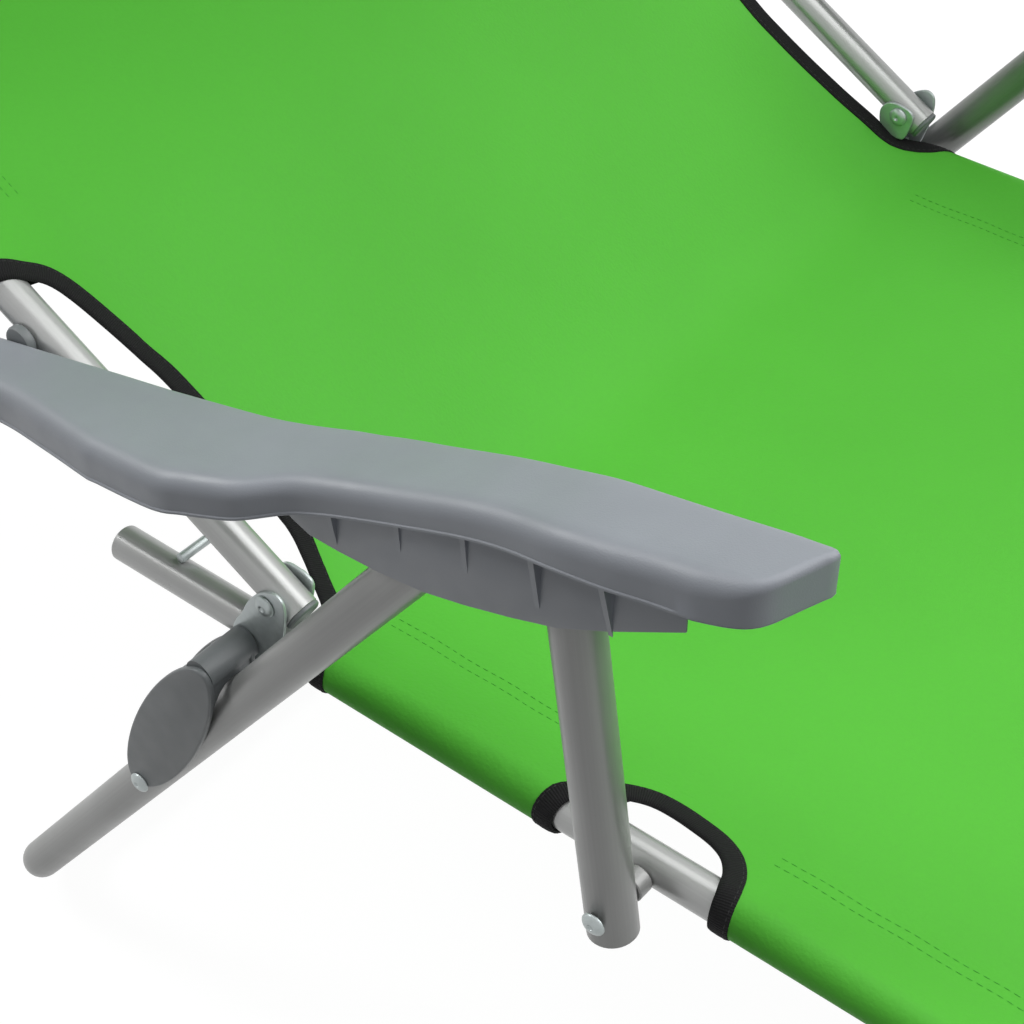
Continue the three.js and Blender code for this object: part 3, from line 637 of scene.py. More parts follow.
# The sling: a cloth in its own flat coordinates, along it and across it.
class Cloth:
    """A sheet held by two sleeves. It maps flat coordinates to places in the round."""

    def __init__(self, centre, tube_y, tube_radius, inset, sag, thickness, tail):
        self.points = centre
        gaps = [0.0] + [(b - a).length for a, b in zip(centre, centre[1:])]
        self.stations = np.cumsum(gaps)
        self.length = float(self.stations[-1])
        self.ways = directions(centre)
        self.tube_y, self.radius = tube_y, tube_radius + TUBE_GAP + thickness / 2
        self.inset, self.sag, self.thickness, self.tail = inset, sag, thickness, tail
        self.seam = tube_y - inset
        self.turn = math.pi - math.acos(self.radius / inset)
        self.slant = math.sqrt(inset ** 2 - self.radius ** 2)
        self.rise = self.seam + self.slant
        self.under = self.rise + 2 * self.radius * self.turn
        self.back = self.under + self.slant
        self.edge = self.back + tail
        self.outside = (self.rise + self.under) / 2

    def station(self, x):
        """The distance along the cloth at which its middle passes a place along the lounger."""
        places = [point.x for point in self.points]
        return float(np.interp(-x, [-place for place in places], self.stations))

    def flat(self, y):
        """The distance across the flat cloth for a place across the lounger, on its upper side."""
        if y <= self.seam:
            return y
        touch = self.tube_y + self.radius * math.cos(self.turn)
        if y <= touch:
            return self.seam + (y - self.seam) / (touch - self.seam) * self.slant
        angle = math.acos(max(-1.0, min(1.0, (y - self.tube_y) / self.radius)))
        return self.rise + (self.turn - angle) * self.radius

    def section(self, across_flat):
        """The place across, the height and the outward direction at a distance from the middle."""
        u, seam, radius = abs(across_flat), self.seam, self.radius
        touch = (self.tube_y + radius * math.cos(self.turn), radius * math.sin(self.turn))
        if u <= seam:
            y, z = u, -self.sag * (1 - (u / seam) ** 2)
            tilt = math.atan2(2 * self.sag * u / seam ** 2, 1)
            out = (-math.sin(tilt), math.cos(tilt))
        elif u <= self.rise:
            share = (u - seam) / self.slant
            y, z = seam + share * (touch[0] - seam), share * touch[1]
            out = (math.cos(self.turn), math.sin(self.turn))
        elif u <= self.under:
            angle = self.turn - (u - self.rise) / radius
            out = (math.cos(angle), math.sin(angle))
            y, z = self.tube_y + radius * out[0], radius * out[1]
        else:
            share = min(1.0, (u - self.under) / self.slant)
            low = -self.thickness - 0.15
            y = touch[0] + share * (seam - touch[0])
            z = -touch[1] + share * (low + touch[1])
            out = (math.cos(self.turn), -math.sin(self.turn))
            if u > self.back:
                y = seam - (u - self.back)
                z = low - self.sag * (1 - (y / seam) ** 2)
                out = (0.0, -1.0)
        side = 1 if across_flat >= 0 else -1
        return side * y, z, (side * out[0], out[1])

    def place(self, along, across_flat, lift=0.0):
        """The place in the round of a flat point, lifted off the cloth's middle."""
        i = int(np.clip(np.searchsorted(self.stations, along) - 1, 0, len(self.points) - 2))
        share = (along - self.stations[i]) / (self.stations[i + 1] - self.stations[i])
        middle = self.points[i].lerp(self.points[i + 1], share)
        way = self.ways[i].lerp(self.ways[i + 1], min(1.0, max(0.0, share))).normalized()
        upward = Vector((way.z, 0, -way.x))
        y, z, out = self.section(across_flat)
        return middle + Vector((0, y + lift * out[0], 0)) + upward * (z + lift * out[1])

    def hem_rows(self, insets, margin, lift):
        """Rows of places across both hems, at distances from them."""
        reach = self.outside - margin
        return [[self.place(station, u, lift) for u in np.linspace(-reach, reach, 160)]
                for station in (*insets, *[self.length - inset for inset in insets])]

    def columns(self):
        """Places across the flat cloth for its rows of points: closer where it wraps the tubes."""
        spans = ((0, self.seam, 21), (self.seam, self.rise, 6), (self.rise, self.under, 19),
                 (self.under, self.back, 6), (self.back, self.edge, 3))
        return sorted({round(side * u, 4) for span in spans for u in np.linspace(*span)
                       for side in (-1, 1)})

    def sheet(self, holes, spacing=9.0):
        """The cloth as triangles, with holes given as closed loops in flat coordinates."""
        columns = self.columns()
        rows = np.linspace(0, self.length, round(self.length / spacing) + 1)
        border = [(row, columns[0]) for row in rows]
        border += [(rows[-1], column) for column in columns[1:]]
        border += [(row, columns[-1]) for row in rows[-2::-1]]
        border += [(rows[0], column) for column in columns[-2:0:-1]]
        grid = np.array([(row, column) for row in rows[1:-1] for column in columns[1:-1]])
        for loop in holes:
            grid = grid[~inside(grid, grow(loop, 2.2))]
        flat, faces = filled(np.array(border), grid, holes)
        return Shape().add([self.place(*point) for point in flat], faces,
                           [tuple(p) for p in flat])

    def cut(self, name, holes=(), spacing=9.0):
        """The cloth as a finished piece with its thickness."""
        piece = self.sheet(holes, spacing).piece(name, FINISH["cloth"], CLOTH_ANGLE)
        solid = piece.modifiers.new("Thickness", "SOLIDIFY")
        solid.thickness, solid.offset = self.thickness * MM, 0.0
        finished(piece)
        smooth(piece.data, CLOTH_ANGLE)
        return piece


SEAT_PATH = bent([on_footrest(FOOTREST_LENGTH - HEM_SETBACK), (SEAT_LENGTH, 0, RAIL_Z),
                  (CLOTH_BREAK, 0, RAIL_Z), on_back(CLOTH_LANDING),
                  on_back(BACK_LENGTH - HEM_SETBACK)],
                 [KNEE_RADIUS, CLOTH_BREAK_RADIUS, CLOTH_LANDING_RADIUS], 3.0)
SLING = Cloth(SEAT_PATH, RAIL_Y, RAIL_RADIUS, inset=38.0, sag=9.0, thickness=1.3, tail=14.0)

# The edge of each cut-out: places along the lounger and across it, from head to feet.
HINGE_CUTOUT = [
    (-166.5, 278), (-164, 270.5), (-160, 262), (-155.3, 254), (-146.6, 248.6), (-130.5, 242.9),
    (-114.9, 238.4), (-98.6, 234.6), (-60, 231.8), (-32.5, 232.8), (-19.1, 237.3), (-9.2, 242.4),
    (1, 248), (8, 255), (13.5, 263), (18.5, 271), (21.5, 278)]
FAR_HINGE_CUTOUT = [
    (-163, 278), (-160, 273), (-156, 266), (-149, 257), (-138, 249.5), (-118, 244.7), (-95.9, 244),
    (-80.4, 245.4), (-62.8, 247.9), (-49.6, 250.3), (-36.3, 253), (-22.9, 256.3), (-8.8, 259.4),
    (0.2, 263), (10, 268.5), (19, 274), (23, 278)]
POST_CUTOUT = [
    (160, 278), (161.2, 274.5), (163.4, 269.5), (170.4, 260), (178.9, 252.6), (188, 247.9),
    (198, 246.9), (209.9, 247.9), (220.3, 249.9), (228, 254), (233.4, 260.5), (236, 267),
    (237.8, 272.5), (239, 278)]
# Below the tube a cut-out is deeper and a little wider than above it.
CUTOUT_EDGE, LOWER_DEPTH, LOWER_LIMIT, LOWER_SPREAD = 277.0, 1.45, 231.5, 0.05 / 45.0
THIRD_CUTOUT_SHIFT = SEAT_LENGTH - 281.0
TAPE_FOLD = 1.1
FAR_TAPE = 0.87
STITCH_INSET = 1.6
STITCH_LIFT = 0.08
# The double rows beside the sleeves: from one place along and across to another.
SEAM_SPANS = (((930, 237.5), (480, 237.5)), ((358, 237.4), (247, 237.2)),
              ((150, 229.5), (32, 228.4)), ((-196, 233.0), (-640, 234.0)))


def cutout_loop(knots, shift=0.0, side=1):
    """A cut-out as a closed loop in the flat cloth, round the tube and deeper below it."""
    upper, lower = [], []
    middle = (knots[0][0] + knots[-1][0]) / 2
    for x, y in knots:
        deep = max(LOWER_LIMIT, CUTOUT_EDGE - (CUTOUT_EDGE - y) * LOWER_DEPTH)
        wide = middle + (x - middle) * (1 + LOWER_SPREAD * (CUTOUT_EDGE - deep))
        upper.append((SLING.station(x + shift), SLING.flat(y)))
        lower.append((SLING.station(wide + shift), 2 * SLING.outside - SLING.flat(deep)))
    loop = curve_through(upper + lower[::-1][1:-1], closed=True, spacing=2.2)
    loop = grow(loop, TAPE_FOLD)
    loop[:, 1] *= side
    return loop if side > 0 else loop[::-1]


def cutouts():
    loops = [cutout_loop(FAR_HINGE_CUTOUT, 0.0, 1), cutout_loop(HINGE_CUTOUT, 0.0, -1)]
    for side in (1, -1):
        loops.append(cutout_loop(POST_CUTOUT, 0.0, side))
        loops.append(cutout_loop(POST_CUTOUT, THIRD_CUTOUT_SHIFT, side))
    return loops


def tape_width(loop, sizes):
    """The width of a cut-out's tape, which is narrower on the far side."""
    return sizes.tape * (FAR_TAPE if loop[0][1] > 0 else 1.0)


def taped(cloth, loop, width):
    """Tape folded over an edge of the cloth. The loop runs with the cloth on its outer side."""
    half = cloth.thickness / 2
    profile = [(width, half - 0.1), (width - 0.1, half + 0.55), (width - 0.8, half + 0.8),
               (width * 0.5, half + 0.95), (1.2, half + 0.85), (-0.5, half + 0.5), (-1.1, 0.0),
               (-0.5, -half - 0.2), (1.2, -half - 0.33), (width * 0.5, -half - 0.35),
               (width - 0.8, -half - 0.33), (width, -half + 0.1)]
    rails = [grow(loop, distance) for distance, _ in profile]
    lengths = np.concatenate([[0], np.cumsum(np.linalg.norm(np.diff(loop, axis=0), axis=1))])
    points, measure = [], []
    for i, length in enumerate(lengths):
        for k, (distance, lift) in enumerate(profile):
            points.append(cloth.place(rails[k][i][0], rails[k][i][1], lift))
            measure.append((float(length), float(distance + (20 if k > 6 else 0))))
    return Shape().add(points, bands(len(loop), len(profile), True), measure)


# Repeats are made with Geometry Nodes and then turned into plain meshes.
class Repeat(Wiring):
    """A node group that sets copies on the mesh that it gets, in one finish."""

    def __init__(self, name, **inputs):
        super().__init__(bpy.data.node_groups.new(name, "GeometryNodeTree"))
        face = self.tree.interface
        face.new_socket(name="Geometry", in_out="OUTPUT", socket_type="NodeSocketGeometry")
        for label, kind in {"Geometry": "Geometry", **inputs, "Finish": "Material"}.items():
            face.new_socket(name=label, in_out="INPUT", socket_type=f"NodeSocket{kind}")
        outputs = self.tree.nodes.new("NodeGroupInput").outputs
        self.given = {socket.name: Signal(self, socket) for socket in outputs if socket.name}

    def copies(self, **sockets):
        """Ends the group with copies on points, made real and given their finish."""
        copies = self.node("GeometryNodeInstanceOnPoints", None, sockets)
        real = self.node("GeometryNodeRealizeInstances", None, {0: copies})
        painted = self.node("GeometryNodeSetMaterial", None, {
            "Geometry": real, "Material": self.given["Finish"]})
        self.node("NodeGroupOutput", None, {0: painted})
        return self.tree


def stitch_tree():
    """Short stitches along every edge of a mesh."""
    group = Repeat("Stitches", Pitch="Float", Length="Float", Thickness="Float")
    curve = group.node("GeometryNodeMeshToCurve", None, {0: group.given["Geometry"]})
    even = group.node("GeometryNodeResampleCurve", {"mode": "LENGTH"}, {
        "Curve": curve, "Length": group.given["Pitch"]})
    bead = group.node("GeometryNodeMeshUVSphere", None, {"Segments": 6, "Rings": 4, "Radius": 0.5})
    thick = group.given["Thickness"]
    size = group.node("ShaderNodeCombineXYZ", None, {0: group.given["Length"], 1: thick, 2: thick})
    tangent = group.node("GeometryNodeInputTangent")
    turn = group.node("FunctionNodeAlignRotationToVector", {"axis": "X"}, {"Vector": tangent})
    return group.copies(Points=even, Instance=bead, Rotation=turn, Scale=size)


def scatter_tree():
    """One template on every point of a mesh, turned as the point's attribute says."""
    group = Repeat("Set on points", Template="Object")
    template = group.node("GeometryNodeObjectInfo", None, {"Object": group.given["Template"]},
                          "Geometry")
    turn = group.node("GeometryNodeInputNamedAttribute", {"data_type": "FLOAT_VECTOR"}, {
        "Name": "turn"}, "Attribute")
    spin = group.node("FunctionNodeEulerToRotation", None, {0: turn})
    return group.copies(Points=group.given["Geometry"], Instance=template, Rotation=spin)


def with_nodes(piece, tree, **values):
    """Runs a node group on a piece and keeps the result as its mesh."""
    modifier = piece.modifiers.new(tree.name, "NODES")
    modifier.node_group = tree
    for item in tree.interface.items_tree:
        if item.in_out == "INPUT" and item.name in values:
            modifier[item.identifier] = values[item.name]
    finished(piece)
    smooth(piece.data, 50.0)
    return piece


def stitched(name, rows, pitch, length, thickness, thread):
    """Stitches along rows of places, given in millimetres from the back hinge."""
    mesh = bpy.data.meshes.new(name)
    points, edges = [], []
    for row in rows:
        first = len(points)
        points += [spot(*place) for place in row]
        edges += [(i, i + 1) for i in range(first, len(points) - 1)]
    mesh.from_pydata(points, edges, [])
    return with_nodes(linked(name, mesh), TREES["stitch"], Pitch=pitch * MM,
                      Length=length * MM, Thickness=thickness * MM, Finish=thread)


def set_on(name, template, places, finish):
    """One template on several places. A place is (x, y, z, side), where side is +1 or -1."""
    mesh = bpy.data.meshes.new(name)
    mesh.from_pydata([spot(*place[:3]) for place in places], [], [])
    turn = mesh.attributes.new("turn", "FLOAT_VECTOR", "POINT")
    for item, place in zip(turn.data, places):
        item.vector = (0, 0, 0) if place[3] > 0 else (0, 0, math.pi)
    return with_nodes(linked(name, mesh), TREES["scatter"], Template=template, Finish=finish)


TREES = {}
FINISH = {}


# What a user would change.
class LoungerColours(bpy.types.PropertyGroup):
    """The colours of the lounger."""
    cloth: bpy.props.FloatVectorProperty(
        name="Cloth", description="Colour of the sling and the canopy", subtype="COLOR",
        default=(0.095, 0.485, 0.042), min=0, max=1)
    binding: bpy.props.FloatVectorProperty(
        name="Binding", description="Colour of the tape round the cut-outs", subtype="COLOR",
        default=(0.009, 0.009, 0.0095), min=0, max=1)
    thread: bpy.props.FloatVectorProperty(
        name="Thread", description="Colour of the seams", subtype="COLOR",
        default=(0.05, 0.36, 0.025), min=0, max=1)
    rails: bpy.props.FloatVectorProperty(
        name="Rails", description="Colour of the seat and back tubes", subtype="COLOR",
        default=(0.42, 0.425, 0.42), min=0, max=1)
    legs: bpy.props.FloatVectorProperty(
        name="Legs", description="Colour of the legs, posts and canopy tubes", subtype="COLOR",
        default=(0.272, 0.275, 0.27), min=0, max=1)
    zinc: bpy.props.FloatVectorProperty(
        name="Zinc", description="Colour of the brackets, pins and rivets", subtype="COLOR",
        default=(0.50, 0.55, 0.55), min=0, max=1)
    armrest: bpy.props.FloatVectorProperty(
        name="Armrest", description="Colour of the armrests", subtype="COLOR",
        default=(0.262, 0.28, 0.312), min=0, max=1)
    jaw: bpy.props.FloatVectorProperty(
        name="Dark plastic", description="Colour of the jaws, hubs and feet", subtype="COLOR",
        default=(0.165, 0.178, 0.184), min=0, max=1)


class LoungerSizes(bpy.types.PropertyGroup):
    """The sizes that the frame leaves free."""
    tape: bpy.props.FloatProperty(
        name="Binding width", description="Width of the tape that shows on each side, in mm",
        default=9.0, min=4, max=20)
    pitch: bpy.props.FloatProperty(
        name="Stitch pitch", description="Distance between stitches, in mm",
        default=4.4, min=2, max=10)
    stitch: bpy.props.FloatProperty(
        name="Stitch length", description="Length of a stitch, in mm", default=3.2, min=1, max=8)
    thread: bpy.props.FloatProperty(
        name="Thread", description="Thickness of the thread, in mm", default=0.5, min=0.2, max=1.5)
    seam: bpy.props.FloatProperty(
        name="Seam spacing", description="Distance between the two rows of a seam, in mm",
        default=6.0, min=2, max=12)
    grain: bpy.props.FloatProperty(
        name="Cloth grain", description="Grains of the cloth's coating in a metre",
        default=620.0, min=100, max=2000)
    shoulder: bpy.props.FloatProperty(
        name="Armrest shoulder", description="Radius of the armrest's outer edge, in mm",
        default=8.5, min=2, max=10)


class LoungerOperator(bpy.types.Operator):
    """A step of the lounger's making."""
    bl_options = {"REGISTER", "UNDO"}

    def execute(self, context):
        self.make(context.scene.lounger_colours, context.scene.lounger_sizes)
        return {"FINISHED"}


class LOUNGER_OT_finishes(LoungerOperator):
    """Mixes every finish"""
    bl_idname = "lounger.finishes"
    bl_label = "Finishes"

    def make(self, colours, sizes):
        TREES["stitch"], TREES["scatter"] = stitch_tree(), scatter_tree()
        FINISH["cloth"] = cloth_finish("Green coated cloth", colours.cloth, sizes.grain)
        FINISH["binding"] = binding_finish("Black ribbed tape", colours.binding)
        FINISH["thread"] = thread_finish("Green thread", colours.thread)
        FINISH["black_thread"] = thread_finish("Black thread", colours.binding)
        FINISH["rails"] = coat_finish("Silver coat", colours.rails, 0.32, 0.45)
        FINISH["legs"] = coat_finish("Grey coat", colours.legs, 0.36, 0.2)
        FINISH["zinc"] = zinc_finish("Zinc plate", colours.zinc)
        FINISH["armrest"] = plastic_finish("Grey plastic", colours.armrest, 0.42, 1500.0, 0.12)
        FINISH["jaw"] = plastic_finish("Dark plastic", colours.jaw, 0.45, 1800.0, 0.12)


class LOUNGER_OT_sling(LoungerOperator):
    """Makes the sling: one cloth from the head hem to the foot hem, with its sleeves"""
    bl_idname = "lounger.sling"
    bl_label = "Sling"

    def make(self, colours, sizes):
        loops = cutouts()
        cloth = SLING.cut("sling", loops)
        tape, rows = Shape(), []
        for loop in loops:
            width = tape_width(loop, sizes)
            tape.join(outward(taped(SLING, loop, width)))
            row = [SLING.place(s, u, SLING.thickness / 2 + 0.8)
                   for s, u in grow(loop, width - STITCH_INSET)]
            rows.append(row + row[:1])
        binding = tape.piece("sling_binding", FINISH["binding"], CLOTH_ANGLE)
        seams = stitched("sling_seams", self.seams(sizes), sizes.pitch, sizes.stitch,
                         sizes.thread, FINISH["thread"])
        edging = stitched("binding_stitches", rows, 3.2, 2.4, 0.42, FINISH["black_thread"])
        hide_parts("sling_seat", "sling_back")
        for made in (cloth, binding, seams, edging):
            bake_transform(made)
        width = 2 * SLING.edge * MM
        holes = sum(abs(twice_area(loop)) / 2 for loop in loops)
        area = (2 * SLING.edge * SLING.length - holes) * MM * MM

    def seams(self, sizes):
        """The double rows beside the sleeves, and those of the two hems."""
        rows, lift = [], SLING.thickness / 2 + STITCH_LIFT
        for side in (1, -1):
            for (x0, y0), (x1, y1) in SEAM_SPANS:
                s0, s1 = SLING.station(x0), SLING.station(x1)
                shares = np.linspace(0, 1, max(2, round(abs(s1 - s0) / 8)))
                for shift in (-sizes.seam / 2, sizes.seam / 2):
                    rows.append([SLING.place(
                        s0 + (s1 - s0) * t, side * SLING.flat(
                            y0 + (y1 - y0) * t + shift + 0.35 * math.sin(t * 17 + shift)), lift)
                        for t in shares])
        return rows + SLING.hem_rows((6.0, 14.0), 8, lift)


class LOUNGER_OT_tubes(LoungerOperator):
    """Bends the seat, back and leg tubes, each from one length"""
    bl_idname = "lounger.tubes"
    bl_label = "Tubes"

    def make(self, colours, sizes):
        self.seat()
        self.back()
        self.posts()
        self.leg("rear_leg", joint_place("rear_leg_swing"), REAR_BAR_X, LEG_Y, LEG_BEND_RADIUS)
        front = joint_place("front_leg_fold")
        self.leg("front_leg", front, front.x + FRONT_LEG_FORWARD, RAIL_Y, FRONT_LEG_BEND_RADIUS)
        self.canopy()
        middle = Vector((CROSS_ROD_X, 0, RAIL_Z + RAIL_RADIUS + CROSS_ROD_LIFT))
        rod = pipe([across(middle, -RAIL_Y), across(middle, RAIL_Y)], CROSS_ROD_RADIUS, 0.5, 20,
                   ("dome", "dome"))
        settle(rod.piece("cross_rod", FINISH["zinc"]), "seat_frame", "zinc", "rear_cross_rod")

    def seat(self):
        knee, end = Vector((SEAT_LENGTH, 0, RAIL_Z)), on_footrest(FOOTREST_LENGTH - RAIL_RADIUS)
        corners = both_sides([Vector((-RAIL_TAIL, 0, RAIL_Z)), knee, end], RAIL_Y)
        path = bent(corners, [KNEE_RADIUS, BOW_RADIUS, BOW_RADIUS, KNEE_RADIUS])
        tube = pipe(path, RAIL_RADIUS, ends=("dome", "dome"), dome=0.22)
        tube = tube.piece("seat_tube", FINISH["rails"])
        settle(tube, "seat_frame", "silver_tube", "seat_rail_left", "seat_rail_right", "foot_bow",
               "rail_plug_left", "rail_plug_right")

    def back(self):
        foot, end = on_back(-BACK_STUB), on_back(BACK_LENGTH - RAIL_RADIUS)
        path = bent(both_sides([foot, end], RAIL_Y), [BOW_RADIUS, BOW_RADIUS])
        tube = pipe(path, RAIL_RADIUS).piece("back_tube", FINISH["rails"])
        settle(tube, "back_frame", "silver_tube", "back_rail_left", "back_rail_right", "head_bow")
        plug = turned([(0, -6), (7.3, -6), (7.3, 0.35), (8.7, 0.4), (8.9, 0.9), (8.7, 2.0),
                       (7.8, 2.7), (0, 2.9)], across(foot, RAIL_Y), -on_back(1))
        pair(plug, "back_plug", FINISH["jaw"], "back_frame", "dark_plastic", "back_plug")

    def posts(self):
        low, high = joint_place("post_swing"), joint_place("arm_swing")
        way = (high - low).normalized()
        foot, head = low - way * POST_TAIL, high + way * TUBE_HEAD
        tube = pipe([across(foot, LEG_Y), across(head, LEG_Y)], LEG_RADIUS, ends=("dome", "cut"),
                    dome=0.23)
        pair(tube, "post", FINISH["legs"], "posts", "leg_tube", "post", "post_plug")

    def leg(self, name, pivot, ground_x, y, radius):
        ground = Vector((ground_x, 0, GROUND_BAR_Z))
        head = pivot + (pivot - ground).normalized() * TUBE_HEAD
        path = bent(both_sides([head, ground], y), [radius, radius])
        tube = pipe(path, LEG_RADIUS).piece(f"{name}_tube", FINISH["legs"])
        settle(tube, name, "leg_tube", f"{name}_left", f"{name}_right", f"{name}_bar")

    def canopy(self):
        hub, shoulder, front = canopy_places()
        start = hub + canopy_upwards() * 6.0
        end = front + canopy_forwards() * CANOPY_BOW_RADIUS
        radii = [CANOPY_BEND_RADIUS, CANOPY_BOW_RADIUS, CANOPY_BOW_RADIUS, CANOPY_BEND_RADIUS]
        path = bent(both_sides([start, shoulder, end], CANOPY_Y), radii, 4.0)
        shape = pipe(path, CANOPY_RADIUS, CANOPY_WALL, 28)
        eye = [(3.4, 0), (11, 0), (12, 1), (12, 10.3), (11, 11.3), (3.4, 11.3), (3.4, 0)]
        for side in (1, -1):
            low = side * CANOPY_Y - CANOPY_EYE_HALF
            shape.join(turned(eye, (hub.x, low, hub.z), ACROSS))
        tube = shape.piece("canopy_tube", FINISH["legs"])
        settle(tube, "canopy", "leg_tube", "canopy_arm_left", "canopy_arm_right", "canopy_bow")
        bar = hub + canopy_upwards() * CANOPY_REAR_BAR
        reach = CANOPY_Y - CANOPY_RADIUS + 0.6
        rear = pipe(both_sides([bar], reach), CANOPY_RADIUS, CANOPY_WALL, 28)
        settle(rear.piece("canopy_bar", FINISH["legs"]), "canopy", "leg_tube", "canopy_rear_bar")


def canopy_upwards():
    return Vector((math.sin(CANOPY_LEAN), 0, math.cos(CANOPY_LEAN)))


def canopy_forwards():
    return Vector((math.cos(CANOPY_FALL), 0, -math.sin(CANOPY_FALL)))


def canopy_places():
    """The hub, the shoulder and the front ends of the canopy's side tubes."""
    hub = on_back(CANOPY_HUB)
    shoulder = hub + canopy_upwards() * CANOPY_RISE
    return hub, shoulder, shoulder + canopy_forwards() * (CANOPY_REACH - CANOPY_BOW_RADIUS)


# Armrest: places along it, each with the height of its top, its width outside the inner web,
# how far it overhangs that web, and the depth of its rim.
ARMREST_PLACES = [
    (-204, 66, 22, 0, 19), (-190, 70, 29, 0, 19), (-157, 78, 33.5, 0, 19), (-117, 87, 34, 0, 19),
    (-78, 96, 41.3, 0, 19), (-45, 103.4, 48.4, 0, 19), (-38, 105, 49.3, 0, 19),
    (2, 115, 54, 0, 18.6), (18, 119.2, 52, 0.1, 18.3), (29, 122, 50, 0.9, 18),
    (43, 125.3, 46.3, 3.2, 17.3), (60, 129.7, 36, 6.3, 16.4), (72, 133, 32.5, 7.5, 16),
    (81, 136, 31.3, 8.2, 15.8), (91, 139.4, 30.6, 8.6, 15.6), (107, 145.3, 30, 8, 15.5),
    (141, 158.8, 30.5, 6.4, 15.5), (164, 166.7, 32, 5.4, 15.5), (187, 174.5, 35.5, 4.2, 16.4),
    (209, 179.8, 36, 3.2, 17.5), (228, 184, 34.8, 2.6, 18.4), (248, 188.5, 34.5, 2.1, 19),
    (262, 191.5, 31.5, 2.1, 19), (269, 193.3, 27.5, 1.4, 19), (281, 196.6, 20, 0, 19)]
ARMREST_WALL = 3.0
INNER_SHOULDER, NOSE_SHOULDER, NOSE_START = 3.2, 4.0, 262.0
INNER_WEB, OUTER_WEB = (ARM_INNER, ARM_INNER + 3.0), (LEG_Y + 11.45, LEG_Y + 12.6)
WEB_LOWER_EDGE = [(42, 110), (53, 101.5), (62, 98), (77, 97.9), (98, 99), (120, 101.9),
                  (141, 107.4), (163, 114.4), (184, 122), (207, 134.4), (238, 153)]
GUSSETS = [(76, 103.8), (109, 115.4), (141.5, 124.3), (175, 129.3), (207, 138)]


def armrest_curve():
    return curve_through(ARMREST_PLACES, spacing=2.0)


def evened(values, times):
    """Values round a loop, each averaged with its neighbours."""
    for _ in range(times):
        values = (np.roll(values, 1) + values + np.roll(values, -1)) / 3
    return values


def armrest_outline():
    """The armrest seen from above, as a closed loop with rounded ends."""
    curve = armrest_curve()
    outer = [(row[0], ARM_INNER + row[2]) for row in curve if -199 < row[0] < 250]
    nose = [(257, 315.2), (264, 312.4), (268.6, 307.5), (273, 298), (276.6, 290.2), (278.4, 286.6),
            (278, 283.9), (275.2, 282.3)]
    inner = [(x, ARM_INNER - float(np.interp(x, curve[:, 0], curve[:, 3])))
             for x in np.linspace(270, -196, 72)]
    rear = [(-201.5, ARM_INNER + 1.2), (-204, ARM_INNER + 5), (-204, ARM_INNER + 16)]
    return curve_through(outer[::3] + nose + inner + rear, closed=True, spacing=2.6)


